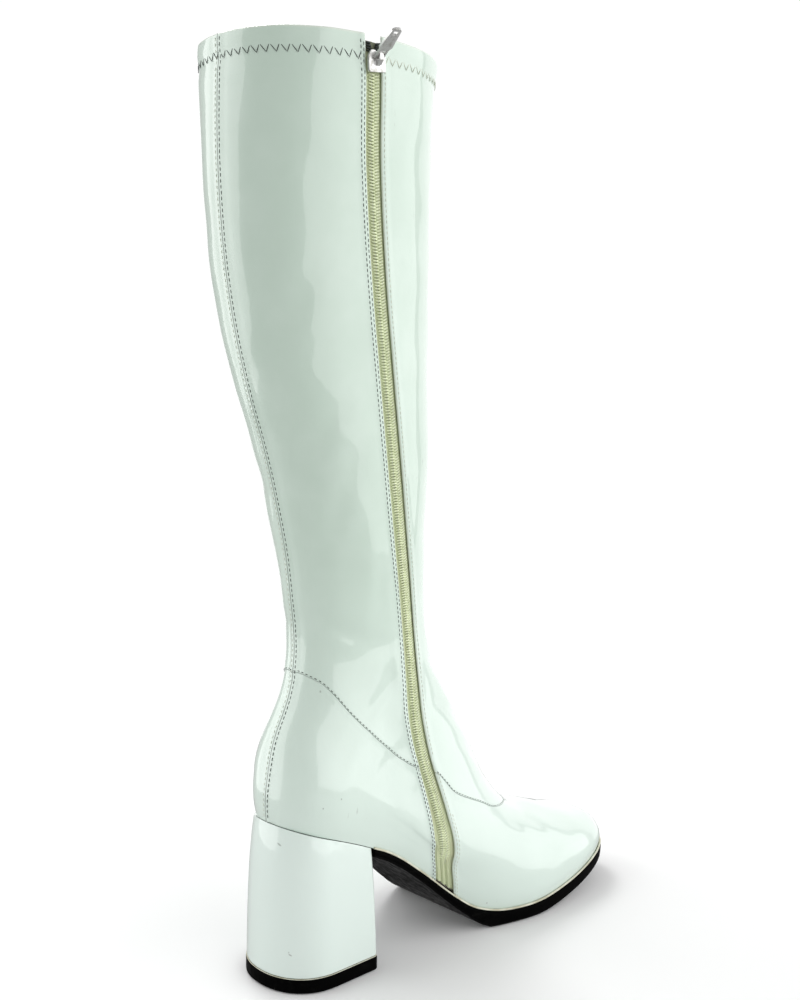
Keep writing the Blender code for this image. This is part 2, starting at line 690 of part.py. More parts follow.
def build_pull(look):
    """Pull tab hung on the bridge, its origin on the axis it swings about."""
    seat = zip_frame(SLIDER_Z)
    # outline across the axis and along the tab, from the bar under the bridge to the tip
    leg, shoulder, tip = 2.65, 3.6, 2.6
    outline = [(-leg, -EYE_BAR), (leg, -EYE_BAR), (leg, 4.6), (shoulder, 6.0),
               (tip, PULL_LONG - 1.2), (tip - 1.2, PULL_LONG), (-tip + 1.2, PULL_LONG),
               (-tip, PULL_LONG - 1.2), (-shoulder, 6.0), (-leg, 4.6)]
    pull = prism("zip_pull", outline, -PULL_THICK / 2, PULL_THICK / 2, look)
    eye_long = EYE_END - EYE_BAR
    cut_solid(pull, block("eye", (2 * EYE_HALF, eye_long, 4.0), (0, EYE_BAR + eye_long / 2, 0)))
    cut_solid(pull, block("tip_slot", (2.6, 2.0, 4.0), (0, PULL_LONG - 2.6, 0)))
    lean = Matrix.Rotation(math.radians(PULL_LEAN_DEG), 4, "X")
    pull.data.transform(seat.to_3x3().to_4x4() @ lean)
    pull.location = seat @ (Vector((0, PIVOT_UP, PIVOT_OUT)) * MM)
    return pull


def main():
    clear_scene()
    patent = material("white_patent", (0.80, 0.86, 0.82), 0.10, coat=1.0)
    black = material("black_sole", (0.012, 0.012, 0.013), 0.45)
    lining = material("insole_cover", (0.62, 0.60, 0.52), 0.85)
    tape = material("zip_tape", (0.44, 0.45, 0.27), 0.9)
    coil = material("zip_coil", (0.50, 0.51, 0.32), 0.5)
    silver = material("silver_metal", (0.72, 0.72, 0.72), 0.2, metallic=1.0)
    build_upper(patent)
    build_insole(lining)
    build_outsole(black)
    build_heel(patent)
    build_lift(black)
    build_zip(tape, coil)
    build_slider(silver)
    build_pull(silver)


main()
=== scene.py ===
# White patent go-go boot, left foot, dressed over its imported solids.
# Sizes in the tables are millimetres: +Y to the toe, +X to the inner side with the zip, +Z up.
import math

import bmesh
import bpy
import numpy as np
from mathutils import Matrix, Vector, noise
from mathutils.kdtree import KDTree


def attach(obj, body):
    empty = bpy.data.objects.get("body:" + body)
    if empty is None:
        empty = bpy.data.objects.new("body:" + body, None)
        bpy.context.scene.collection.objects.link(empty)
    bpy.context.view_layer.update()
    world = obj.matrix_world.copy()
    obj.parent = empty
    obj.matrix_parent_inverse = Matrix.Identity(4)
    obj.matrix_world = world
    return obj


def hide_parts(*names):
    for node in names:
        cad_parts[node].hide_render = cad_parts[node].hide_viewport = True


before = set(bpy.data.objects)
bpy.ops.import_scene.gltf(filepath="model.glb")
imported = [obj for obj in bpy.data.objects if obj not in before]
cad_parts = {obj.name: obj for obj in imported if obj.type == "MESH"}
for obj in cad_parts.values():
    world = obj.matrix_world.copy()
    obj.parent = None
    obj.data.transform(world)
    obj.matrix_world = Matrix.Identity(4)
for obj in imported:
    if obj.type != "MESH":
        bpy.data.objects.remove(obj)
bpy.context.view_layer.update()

MM = 0.001

WALL = 1.4              # vinyl, backing and lining together
COLLAR_Z = 455.0
EDGE_ROUND = 0.75       # radius of a folded vinyl edge
HEM_DEPTH = 11.0        # the zigzag stitch runs this far under the collar

# Rings of the last and the shaft, from the feather edge up to the collar. Each has the height and
# place of its back and front point, its half widths, and how they are spread along it.
COLUMNS = ("back_y", "back_z", "front_y", "front_z", "bow", "heel_w", "med", "lat", "tip_x",
           "dip", "heel_s", "med_s", "lat_s", "heel_n", "front_n")
RINGS = (
    (-22.8, 83.0, 221.0, 20.5, 1.00, 25.0, 43.0, 40.0, 11.0, 5.0, 0.12, 0.69, 0.62, 2.20, 2.25),
    (-23.4, 90.0, 220.3, 27.5, 1.00, 26.8, 44.3, 41.5, 11.0, 4.5, 0.12, 0.69, 0.62, 2.20, 2.30),
    (-23.2, 97.0, 213.0, 36.0, 0.95, 27.8, 43.5, 41.5, 10.0, 3.8, 0.12, 0.69, 0.62, 2.20, 2.25),
    (-22.3, 104.0, 196.0, 41.5, 0.86, 28.2, 41.5, 40.0, 8.5, 3.0, 0.13, 0.69, 0.62, 2.20, 2.15),
    (-21.0, 111.5, 171.0, 49.0, 0.74, 28.0, 38.7, 37.5, 6.5, 2.0, 0.14, 0.68, 0.62, 2.20, 2.10),
    (-19.0, 120.0, 145.0, 57.5, 0.58, 27.4, 35.0, 34.5, 4.5, 1.2, 0.17, 0.66, 0.62, 2.15, 2.05),
    (-16.0, 128.0, 127.0, 76.0, 0.42, 26.7, 31.5, 31.5, 3.0, 0.6, 0.22, 0.63, 0.61, 2.10, 2.05),
    (-12.0, 136.5, 113.0, 101.0, 0.25, 26.0, 29.0, 29.0, 2.0, 0.3, 0.30, 0.60, 0.59, 2.10, 2.05),
    (-8.7, 145.0, 99.0, 124.0, 0.12, 25.6, 27.5, 27.5, 1.0, 0.0, 0.38, 0.56, 0.56, 2.10, 2.10),
    (-6.2, 156.0, 87.0, 143.0, 0.04, 25.6, 26.6, 26.6, 0.4, 0.0, 0.45, 0.53, 0.53, 2.10, 2.10),
    (-5.7, 170.0, 78.5, 164.0, 0.00, 26.4, 26.6, 26.6, 0.0, 0.0, 0.49, 0.51, 0.51, 2.10, 2.10),
)
# Rings of the shaft: back y and z, front y and z, half width, and roundness.
SHAFT = (
    (-7.3, 187.0, 75.5, 187.0, 28.0, 2.10),
    (-12.0, 219.0, 74.2, 220.0, 31.6, 2.10),
    (-22.3, 260.0, 73.7, 260.0, 35.5, 2.10),
    (-36.8, 305.0, 72.3, 305.0, 39.2, 2.10),
    (-46.5, 350.0, 70.0, 350.0, 42.4, 2.12),
    (-51.0, 400.0, 68.7, 400.0, 45.2, 2.15),
    (-51.2, 438.0, 68.1, 438.0, 47.8, 2.20),
    (-50.9, 455.0, 68.0, 455.0, 49.0, 2.20),
)
RINGS += tuple((*ends, 0.0, half, half, half, 0.0, 0.0, 0.5, 0.5, 0.5, n, n) for *ends, half, n in SHAFT)
TOP_RING = len(RINGS) - 1.0
TOP_SPAN = RINGS[-1][1] - RINGS[-2][1]    # height between the last two rings
ROWS_PER_RING = (4, 5, 7, 9, 9, 9, 10, 9, 8, 8, 8, 11, 14, 15, 15, 16, 13, 5)
# Feather edge, where the upper turns in: y and height. Zip's middle: height and y, and half width.
FEATHER = ((-22.8, 83.0), (-15.0, 80.2), (2.0, 74.0), (16.0, 68.2), (26.0, 63.6), (36.0, 58.8),
           (46.0, 52.6), (55.0, 45.8), (64.5, 38.2), (73.5, 30.4), (83.0, 22.4), (95.0, 14.0),
           (110.0, 9.2), (127.0, 8.0), (142.0, 8.6), (155.0, 10.2), (170.0, 12.6), (188.0, 15.8),
           (203.0, 18.2), (221.0, 20.5))
ZIP_LINE = ((26.0, 77.0), (36.0, 74.5), (50.0, 71.2), (63.0, 69.4), (82.0, 65.0), (107.0, 57.5),
            (128.0, 53.2), (146.0, 52.0), (166.0, 50.2), (187.0, 46.2), (220.0, 37.7),
            (260.0, 28.5), (305.0, 18.9), (350.0, 10.2), (400.0, 3.6), (438.0, 1.0), (455.0, -1.0))
ZIP_HALF = ((26.0, 7.6), (50.0, 7.4), (70.0, 6.0), (100.0, 5.0), (150.0, 5.2), (170.0, 5.4),
            (220.0, 4.9), (350.0, 4.5), (455.0, 4.4))
# Heel block: share of its height, y of its back, half width, y of its front.
HEEL = ((0.00, -26.9, 28.4, 27.5), (0.35, -26.6, 27.8, 27.0), (0.65, -25.8, 27.0, 26.5),
        (0.85, -24.6, 26.1, 26.2), (1.00, -23.2, 25.2, 26.0))
# Seam between the foot and the shaft: share of the way round from the back, and ring number.
FOOT_SEAM = ((0.000, 8.95), (0.017, 9.00), (0.039, 8.92), (0.069, 8.70), (0.092, 8.30),
             (0.125, 7.55), (0.161, 7.05), (0.206, 6.80), (0.256, 6.68), (0.305, 6.57),
             (0.322, 6.34), (0.333, 6.13), (0.381, 5.70), (0.403, 5.42), (0.425, 5.30), (0.467, 5.20),
             (0.500, 5.18))
# Creases: side (1 inner, -1 outer, 0 both), place y and z of the middle, lean of the crease's
# line from the floor in degrees, half length, half width and depth.
CREASES = (
    (1, 78.0, 148.0, -35.0, 20.0, 5.0, 0.9),
    (1, 88.0, 122.0, -28.0, 20.0, 6.0, 0.9),
    (1, 70.0, 128.0, 22.0, 15.0, 5.5, 0.5),
    (1, 104.0, 97.0, -30.0, 15.0, 5.0, 0.6),
    (1, 30.0, 168.0, 30.0, 16.0, 7.0, 0.5),
    (1, 8.0, 178.0, -15.0, 18.0, 6.0, 0.5),
    (1, 132.0, 50.0, -22.0, 12.0, 2.8, 0.35),
    (1, 150.0, 46.0, -28.0, 14.0, 3.2, 0.4),
    (1, 143.0, 53.0, 10.0, 16.0, 3.4, 0.3),
    (-1, 132.0, 50.0, -16.0, 16.0, 3.2, 0.6),
    (-1, 150.0, 47.0, -30.0, 14.0, 3.2, 0.6),
    (-1, 82.0, 140.0, -32.0, 20.0, 5.5, 0.9),
    (-1, 96.0, 112.0, -26.0, 20.0, 6.0, 0.8),
    (-1, 34.0, 158.0, 24.0, 24.0, 6.5, 0.7),
    (-1, 12.0, 176.0, -12.0, 20.0, 6.5, 0.6),
    (0, 176.0, 51.0, 0.0, 7.0, 4.0, 0.4),
    (1, -14.0, 268.0, 72.0, 24.0, 6.0, 0.55),
    (1, 0.0, 238.0, 84.0, 28.0, 6.5, 0.45),
    (1, 26.0, 205.0, 98.0, 26.0, 6.0, 0.50),
    (1, -30.0, 330.0, 80.0, 30.0, 7.0, 0.35),
    (1, 30.0, 142.0, 55.0, 16.0, 4.5, 0.70),
    (1, 44.0, 112.0, 40.0, 18.0, 5.0, 0.60),
    (1, 8.0, 120.0, 65.0, 22.0, 6.0, 0.45),
    (1, 62.0, 92.0, 30.0, 14.0, 4.5, 0.45),
    (-1, -10.0, 262.0, 76.0, 26.0, 6.5, 0.50),
    (-1, 22.0, 214.0, 96.0, 26.0, 6.5, 0.50),
)
# Small dark nicks in the vinyl: place, length, and lean from upright in degrees.
NICKS = (
    (28.0, 1.6, 96.1, 0.9, 10.0),
    (25.5, -7.7, 92.8, 0.7, 0.0),
    (14.4, -1.0, 147.8, 1.0, 0.0),
    (35.6, 101.9, 15.2, 0.9, 20.0),
    (10.2, -22.9, 74.4, 3.6, 32.0),
    (17.4, -21.4, 19.7, 1.5, 50.0),
    (16.2, -21.9, 21.0, 1.1, 0.0),
)


def smooth_table(table, x):
    """Cubic Hermite through rows of a table, the first column being x."""
    last = len(table) - 1
    if x <= table[0][0]:
        return table[0][1]
    if x >= table[last][0]:
        return table[last][1]

    def slope(i):
        a, b = table[max(i - 1, 0)], table[min(i + 1, last)]
        return (b[1] - a[1]) / (b[0] - a[0])

    for i in range(last):
        (x0, v0), (x1, v1) = table[i], table[i + 1]
        if x <= x1:
            h = x1 - x0
            f = (x - x0) / h
            return ((2 * f ** 3 - 3 * f ** 2 + 1) * v0 + (f ** 3 - 2 * f ** 2 + f) * h * slope(i)
                    + (3 * f ** 2 - 2 * f ** 3) * v1 + (f ** 3 - f ** 2) * h * slope(i + 1))
    return table[last][1]


def straight_table(table, x):
    """Straight lines through rows of a table."""
    return float(np.interp(x, [row[0] for row in table], [row[1] for row in table]))


def held(share):
    """A share, held between 0 and 1."""
    return min(max(share, 0.0), 1.0)


def running(points):
    """Running length at each point of a polyline."""
    return np.concatenate([[0.0], np.cumsum(np.linalg.norm(np.diff(points, axis=0), axis=1))])


def between(run, points, want):
    """Points of a polyline at the wanted running lengths."""
    return np.stack([np.interp(want, run, points[:, k]) for k in range(3)], axis=-1)


def tree_of(points):
    """Search tree of a list of points."""
    tree = KDTree(len(points))
    for k, point in enumerate(points):
        tree.insert(point, k)
    tree.balance()
    return tree


def over_feather(y, depth):
    """Height of a point that lies at a depth square to the feather edge's slope."""
    slope = smooth_table(FEATHER, y + 0.5) - smooth_table(FEATHER, y - 0.5)
    return smooth_table(FEATHER, y) + depth * math.sqrt(1.0 + slope * slope)


def ring_at(t):
    """Named sizes of the ring at t, by a Catmull-Rom spline through the table's rows."""
    last = len(RINGS) - 1
    t = min(max(t, 0.0), float(last))
    i = min(int(t), last - 1)
    f = t - i
    sizes = {}
    for k, name in enumerate(COLUMNS):
        p1, p2 = RINGS[i][k], RINGS[i + 1][k]
        p0 = RINGS[i - 1][k] if i > 0 else 2 * p1 - p2
        p3 = RINGS[i + 2][k] if i + 2 <= last else 2 * p2 - p1
        sizes[name] = 0.5 * (2 * p1 + (p2 - p0) * f + (2 * p0 - 5 * p1 + 4 * p2 - p3) * f * f
                             + (3 * p1 - p0 - 3 * p2 + p3) * f ** 3)
    return sizes


HEEL_TURN, BALL_TURN = 0.14, 0.34
WAIST_INNER, WAIST_OUTER = 1.3, 0.6


def ring_point(ring, turn):
    """Point of a ring: turn 0 is the back, 0.25 the inner side, 0.5 the front."""
    turn = turn % 1.0
    inner = turn <= 0.5
    side = 1.0 if inner else -1.0
    a = turn if inner else 1.0 - turn
    ball = ring["med"] if inner else ring["lat"]
    ball_s = ring["med_s"] if inner else ring["lat_s"]
    if a < HEEL_TURN:
        q = a / HEEL_TURN * math.pi / 2
        s = ring["heel_s"] * (1 - abs(math.cos(q)) ** (2 / ring["heel_n"]))
        x = side * ring["heel_w"] * abs(math.sin(q)) ** (2 / ring["heel_n"])
    elif a > BALL_TURN:
        q = (a - BALL_TURN) / (0.5 - BALL_TURN) * math.pi / 2
        s = ball_s + (1 - ball_s) * abs(math.sin(q)) ** (2 / ring["front_n"])
        round_off = max(math.cos(q), 0.0) ** (2 / ring["front_n"])
        x = ring["tip_x"] + (side * ball - ring["tip_x"]) * round_off
    else:
        q = (a - HEEL_TURN) / (BALL_TURN - HEEL_TURN)
        s = ring["heel_s"] + (ball_s - ring["heel_s"]) * q
        ease = q * q * (3 - 2 * q)
        waist = ring["dip"] * (WAIST_INNER if inner else WAIST_OUTER) * math.sin(math.pi * q) ** 2
        x = side * (ring["heel_w"] * (1 - ease) + ball * ease - waist)
    y = ring["back_y"] + s * (ring["front_y"] - ring["back_y"])
    z = ring["back_z"] + s * (ring["front_z"] - ring["back_z"])
    (y0, z0), (y1, z1) = FEATHER[0], FEATHER[-1]
    sag = smooth_table(FEATHER, y0 + s * (y1 - y0)) - (z0 + s * (z1 - z0))
    return (x, y, z + ring["bow"] * sag)


STEPS = 480    # points once round a ring
RING_CACHE = {}


class Ring:
    """One closed ring of the upper, walked by its running length from the back point."""

    def __init__(self, t):
        sizes = ring_at(t)
        once = np.array([ring_point(sizes, k / STEPS) for k in range(STEPS)])
        self.points = np.vstack([once, once, once[:1]])
        self.length = running(self.points)
        self.whole = self.length[STEPS]
        self.front = self.length[STEPS // 2]
        heights = self.points[:STEPS // 2 + 1, 2]
        gap = self.points[:STEPS // 2 + 1, 1] - np.array([smooth_table(ZIP_LINE, z) for z in heights])
        k = int(np.argmax(gap > 0.0)) - 1
        share = -gap[k] / (gap[k + 1] - gap[k])
        self.zip = self.length[k] + share * (self.length[k + 1] - self.length[k])
        self.half = straight_table(ZIP_HALF, self.at(self.zip)[2])

    def at(self, distance):
        """Point or points at running lengths."""
        distance = np.mod(np.asarray(distance, float), self.whole)
        return between(self.length, self.points, distance)


def ring(t):
    """The ring numbered t, kept for its next use."""
    key = round(t, 5)
    if key not in RING_CACHE:
        RING_CACHE[key] = Ring(t)
    return RING_CACHE[key]


def surface(t, offset):
    """Point of the upper's outer face on ring t, at a distance forward of the zip's centre."""
    here = ring(t)
    return Vector(here.at(here.zip + offset))


def stand(t, offset):
    """Place on the upper with its outward and upward directions."""
    reach, width = 0.05, 1.0
    up = (surface(min(t + reach, TOP_RING), offset) - surface(max(t - reach, 0.0), offset)).normalized()
    forward = surface(t, offset + width) - surface(t, offset - width)
    out = forward.cross(up).normalized()
    return surface(t, offset), out, up


def row_at_height(height):
    """Ring number over the ankle whose zip point lies at a height."""
    low, high = 8.0, TOP_RING
    for halving in range(30):
        mid = (low + high) / 2
        if surface(mid, 0.0).z < height:
            low = mid
        else:
            high = mid
    return (low + high) / 2


def deselect():
    """Selects nothing."""
    for thing in bpy.context.selected_objects:
        thing.select_set(False)


def take(name):
    """Names the object an operator has just added and gives it a mesh of the same name."""
    thing = bpy.context.object
    thing.name = name
    thing.data.name = name
    return thing


def select_only(thing):
    """Selects one object alone and makes it the active one."""
    deselect()
    thing.select_set(True)
    bpy.context.view_layer.objects.active = thing


def settle(thing):
    """Puts a piece's place into its mesh."""
    select_only(thing)
    bpy.ops.object.transform_apply(location=True, rotation=True, scale=True)
    return thing


def finish_modifiers(thing):
    """Applies all modifiers of a piece."""
    select_only(thing)
    for step in list(thing.modifiers):
        bpy.ops.object.modifier_apply(modifier=step.name)
    return thing


def smooth(thing, angle=40.0):
    """Shades a piece smooth, but for edges sharper than an angle in degrees."""
    select_only(thing)
    bpy.ops.object.shade_smooth_by_angle(angle=math.radians(angle))
    return thing


def dress(thing, body, slot, *looks):
    """Gives a piece its materials and the body it rides on; slot is not used."""
    thing.data.materials.clear()
    for look in looks:
        thing.data.materials.append(look)
    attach(thing, body)
    return thing


def grid_piece(name, points):
    """Grid primitive whose vertices are laid on a table of points, rows by columns, in mm."""
    rows, columns = points.shape[:2]
    deselect()
    bpy.ops.mesh.primitive_grid_add(x_subdivisions=columns - 1, y_subdivisions=rows - 1, size=1.0)
    thing = take(name)
    flat = np.empty(len(thing.data.vertices) * 3)
    thing.data.vertices.foreach_get("co", flat)
    flat = flat.reshape(-1, 3)
    j = np.rint((flat[:, 0] + 0.5) * (columns - 1)).astype(int)
    i = np.rint((flat[:, 1] + 0.5) * (rows - 1)).astype(int)
    thing.data.vertices.foreach_set("co", (points[i, j] * MM).ravel())
    thing.data.update()
    return thing, i, j


def field(thing, name, values):
    """Stores one number for each vertex, for the materials to read."""
    layer = thing.data.attributes.new(name, "FLOAT", "POINT")
    layer.data.foreach_set("value", np.asarray(values, np.float32))


def face_normals(points):
    """Outward directions of a grid of points that runs forward along its columns."""
    along = np.gradient(points, axis=1)
    up = np.gradient(points, axis=0)
    out = np.cross(along, up)
    return out / np.maximum(np.linalg.norm(out, axis=2, keepdims=True), 1e-9)


def edge_drop(distance):
    """How far a folded edge of radius EDGE_ROUND falls at a distance from its end."""
    d = np.clip(EDGE_ROUND - distance, 0.0, EDGE_ROUND)
    return EDGE_ROUND - np.sqrt(np.maximum(EDGE_ROUND ** 2 - d ** 2, 0.0))


# Columns of the upper: distances from the zip's edges, and numbers in between.
NEAR = (0.0, 0.06, 0.2, 0.42, 0.75, 1.3, 2.0, 2.8, 3.8, 5.0, 6.4, 8.0)
FRONT_COLUMNS, OUTER_COLUMNS, REAR_COLUMNS = 34, 112, 34
# Last rows of the upper: drops from the collar's edge.
COLLAR_DROPS = (2.0, 1.2, 0.75, 0.42, 0.2, 0.06, 0.0)
# Rows of the edge that is turned in under the foot: distances from the feather edge.
TURNED_IN = (9.0, 4.5, 1.0)
FOOT_MIDDLE = (20.0, 150.0, 5.0)    # the foot's middle line: first y, last y, x at its end
SEAM_RINGS = 11.0       # the foot seam lies under this ring
SEAM_FAR = 60.0         # distance given to places far from the foot seam
SEAM_NEAR = 14.0        # within this distance it is measured square to the seam
# Waves of the sheet: their lengths along x, y and z, and their height.
SLOW_WAVE, SLOW_HIGH = (34.0, 34.0, 58.0), 0.95
FINE_WAVE, FINE_HIGH = (15.0, 15.0, 24.0), 0.48
FINE_SHIFT = 9.0
# The sheet lies calm over these distances from the zip, the feather edge and the back seam.
CALM_ZIP, CALM_FEATHER, CALM_BACK = 9.0, 14.0, 6.0
CALM_FEATHER_UNDER = 110.0


def upper_rows():
    """Ring numbers of the upper's rows; the last ones are close together on the collar's fold."""
    rows = [i + k / count for i, count in enumerate(ROWS_PER_RING) for k in range(count)]
    return rows + [TOP_RING - drop / TOP_SPAN for drop in COLLAR_DROPS]


def upper_columns(here):
    """Running lengths from the zip's front edge round the front, the outer side and the back."""
    start, end = here.zip + here.half, here.whole + here.zip - here.half
    last = NEAR[-1]
    line = [start + d for d in NEAR]
    line += list(np.linspace(start + last, here.front, FRONT_COLUMNS)[1:])
    line += list(np.linspace(here.front, here.whole, OUTER_COLUMNS)[1:])
    line += list(np.linspace(here.whole, end - last, REAR_COLUMNS)[1:-1])
    line += [end - d for d in reversed(NEAR)]
    return np.array(line), start, end


def foot_seam_line():
    """Points of the seam between foot and shaft, once round from the back."""
    shares = np.linspace(0.0, 1.0, 601)
    points = []
    for share in shares:
        here = ring(round(smooth_table(FOOT_SEAM, min(share, 1.0 - share)), 2))
        points.append(here.at(share * here.whole))
    return np.array(points)


def hump(distance, width):
    """Bell curve of a distance: 1 at zero, falling away over a width."""
    return np.exp(-(distance / width) ** 2)


def crease_height(x, y, z):
    """Height of the listed creases at a place, in mm."""
    reach, bend, blend, rim = 60.0, 0.35, 14.0, 0.9
    total = 0.0
    for side, cy, cz, lean, half_long, half_wide, depth in CREASES:
        dy, dz = y - cy, z - cz
        if abs(dy) > reach or abs(dz) > reach:
            continue
        c, s = math.cos(math.radians(lean)), math.sin(math.radians(lean))
        a, b = (dy * c + dz * s) / half_long, (-dy * s + dz * c) / half_wide
        b += bend * math.sin(1.7 * a)
        share = 1.0 if side == 0 else held(0.5 + side * x / blend)
        total -= share * depth * (1.0 - rim * b * b) * math.exp(-b * b - a * a)
    return total


def seam_distance(seam, tree, place, share, t):
    """Distance from the foot seam, below zero under it."""
    far = SEAM_FAR
    if t < SEAM_RINGS:
        near, k, far = tree.find(place)
        if far < SEAM_NEAR:
            a, b = seam[max(k - 1, 0)], seam[min(k + 1, len(seam) - 1)]
            run = (b - a) / np.linalg.norm(b - a)
            rest = (place - seam[k]) - run * np.dot(place - seam[k], run)
            far = float(np.linalg.norm(rest))
        if t <= smooth_table(FOOT_SEAM, min(share, 1.0 - share)):
            far = -far
    return far


def sheet_height(place, slot, back):
    """Height of creases and slow waves, calmer beside the zip, the feather edge and the back seam."""
    x, y, z = place
    calm = 1.0 - math.exp(-(slot / CALM_ZIP) ** 2)
    if z < CALM_FEATHER_UNDER:
        calm *= held((z - over_feather(y, 0.0)) / CALM_FEATHER)
    calm *= 1.0 - 0.7 * math.exp(-(back / CALM_BACK) ** 2)
    slow = noise.noise(Vector((x / SLOW_WAVE[0], y / SLOW_WAVE[1], z / SLOW_WAVE[2])))
    fine = noise.noise(Vector((x / FINE_WAVE[0] + FINE_SHIFT, y / FINE_WAVE[1], z / FINE_WAVE[2])))
    return calm * (crease_height(*place) + SLOW_HIGH * slow + FINE_HIGH * fine)


def sewn_height(below, slot, back, seam):
    """Grooves and rolls that the hem, the zip's edges, the back seam and the foot seam press in."""
    from_zip, from_back = np.abs(slot), np.abs(back)
    hem_groove = -0.75 * hump(below - HEM_DEPTH, 2.4)
    hem_roll = 0.35 * hump(below - 4.0, 3.5) * (1.0 - hump(slot, 10.0))
    zip_roll = 0.30 * hump(from_zip - 2.1, 1.3)
    back_rolls = 0.22 * hump(from_back - 1.0, 1.6) - 0.25 * hump(from_back - 4.0, 1.4)
    overlap = 0.35 / (1.0 + np.exp(-seam / 0.5)) * hump(seam, 7.0)
    return hem_groove, hem_roll, zip_roll, back_rolls, overlap


def turned_edge(base):
    """Rows of the vinyl's edge that is turned in under the foot, innermost first."""
    flow = np.gradient(base[:, :2], axis=0)
    flow /= np.linalg.norm(flow, axis=1, keepdims=True)
    inward = np.stack([-flow[:, 1], flow[:, 0]], axis=1)
    first, last, lean = FOOT_MIDDLE
    middle = np.stack([np.clip((base[:, 1] - first) / (last - first), 0.0, 1.0) * lean,
                       np.clip(base[:, 1], first, last)], axis=1)
    inward[np.sum(inward * (middle - base[:, :2]), axis=1) < 0.0] *= -1.0
    rows = []
    for inset in TURNED_IN:
        rows.append([[x, y, smooth_table(FEATHER, y)] for x, y in base[:, :2] + inward * inset])
    return np.array(rows)


def build_upper(vinyl, lining):
    """Vinyl upper with folded edges at the zip and the collar, seams, creases and its lining."""
    rows = upper_rows()
    points, slot, back, share = [], [], [], []
    for t in rows:
        here = ring(t)
        line, start, end = upper_columns(here)
        points.append(here.at(line))
        from_front, from_rear = line - start, end - line
        slot.append(np.where(from_front < from_rear, from_front, -from_rear))
        back.append(line - here.whole)
        share.append(np.mod(line / here.whole, 1.0))
    points, slot, back, share = (np.array(values) for values in (points, slot, back, share))
    ring_number = np.repeat(np.array(rows)[:, None], points.shape[1], axis=1)
    out = face_normals(points)

    seam = foot_seam_line()
    tree = tree_of(seam)
    seam_mm, height = np.zeros(slot.shape), np.zeros(slot.shape)
    for i, t in enumerate(rows):
        for j, place in enumerate(points[i]):
            seam_mm[i, j] = seam_distance(seam, tree, place, share[i, j], t)
            height[i, j] = sheet_height(place, slot[i, j], back[i, j])
    below = COLLAR_Z - points[:, :, 2]
    for form in sewn_height(below, slot, back, seam_mm):
        height += form
    from_top = (TOP_RING - ring_number) * TOP_SPAN
    height -= edge_drop(np.minimum(np.abs(slot), from_top))
    points = points + out * height[:, :, None]
    points = np.concatenate([turned_edge(points[0]), points])

    piece, i, j = grid_piece("boot_upper", points)
    for name, values in (("slot_mm", slot), ("back_mm", back), ("seam_mm", seam_mm), ("collar_mm", below)):
        field(piece, name, np.concatenate([values[:1]] * len(TURNED_IN) + [values])[i, j])
    wall = piece.modifiers.new("wall", "SOLIDIFY")
    wall.thickness = WALL * MM
    wall.offset = -1.0
    wall.use_quality_normals = True
    wall.material_offset = 1
    piece.data.materials.append(vinyl)
    piece.data.materials.append(lining)
    finish_modifiers(piece)
    smooth(piece, 60.0)
    index = np.empty(len(piece.data.polygons), np.int32)
    piece.data.polygons.foreach_get("material_index", index)
    dress(piece, "boot", "white_patent", vinyl, lining)
    piece.data.polygons.foreach_set("material_index", index)
    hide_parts("upper")
    return piece


def stitch_shape(name, long, wide, high):
    """One thread stitch lying along Y, modelled from a small sphere."""
    deselect()
    bpy.ops.mesh.primitive_uv_sphere_add(segments=6, ring_count=5, radius=0.5,
                                         rotation=(math.pi / 2, 0, 0))
    thing = settle(take(name))
    bpy.ops.object.mode_set(mode="EDIT")
    bpy.ops.mesh.select_all(action="SELECT")
    bpy.ops.transform.resize(value=(wide * MM, long * MM, high * MM))
    bpy.ops.object.mode_set(mode="OBJECT")
    return thing


def repeat(name, shape, places):
    """Copies one modelled shape to many places and keeps the copies as one piece.

    A place is a point in mm, the direction of the shape's Y and its outward direction.
    """
    count = len(shape.data.vertices)
    base = np.empty(count * 3)
    shape.data.vertices.foreach_get("co", base)
    base = base.reshape(-1, 3)
    faces = [list(face.vertices) for face in shape.data.polygons]
    points, all_faces = [], []
    for k, (at, along, out) in enumerate(places):
        out = Vector(out).normalized()
        side = Vector(along).cross(out).normalized()
        along = out.cross(side)
        turn = np.array((side, along, out))
        points.append(base @ turn + np.array(at) * MM)
        all_faces += [[v + k * count for v in face] for face in faces]
    mesh = bpy.data.meshes.new(name)
    mesh.from_pydata(np.concatenate(points).tolist(), [], all_faces)
    piece = bpy.data.objects.new(name, mesh)
    bpy.context.scene.collection.objects.link(piece)
    bpy.data.objects.remove(shape, do_unlink=True)
    return smooth(piece, 50.0)


class Skin:
    """The dressed upper's outer face, for laying thread and seams on it."""

    def __init__(self, piece):
        mesh = piece.data
        self.normals = [v.normal.copy() for v in mesh.vertices]
        self.points = [v.co / MM for v in mesh.vertices]
        self.tree = tree_of(self.points)

    def near(self, point, out):
        """The point moved along its outward direction onto the skin."""
        neighbours, same_side, steepest = 12, 0.2, 0.3
        point = Vector(point)
        for place, k, far in self.tree.find_n(point, neighbours):
            facing = self.normals[k].dot(out)
            if facing > same_side:
                shift = (self.points[k] - point).dot(self.normals[k])
                return point + Vector(out) * shift / max(facing, steepest)
        return point


def evenly(points, step):
    """Points and directions every step along a polyline."""
    points = np.array(points)
    run = running(points)
    want, reach = np.arange(step / 2, run[-1], step), step * 0.3
    at, ahead, behind = (between(run, points, want + shift) for shift in (0.0, reach, -reach))
    return [(Vector(a), (Vector(b) - Vector(c)).normalized()) for a, b, c in zip(at, ahead, behind)]


THREAD_WIDE, THREAD_HIGH, THREAD_LIFT = 0.42, 0.3, 0.05


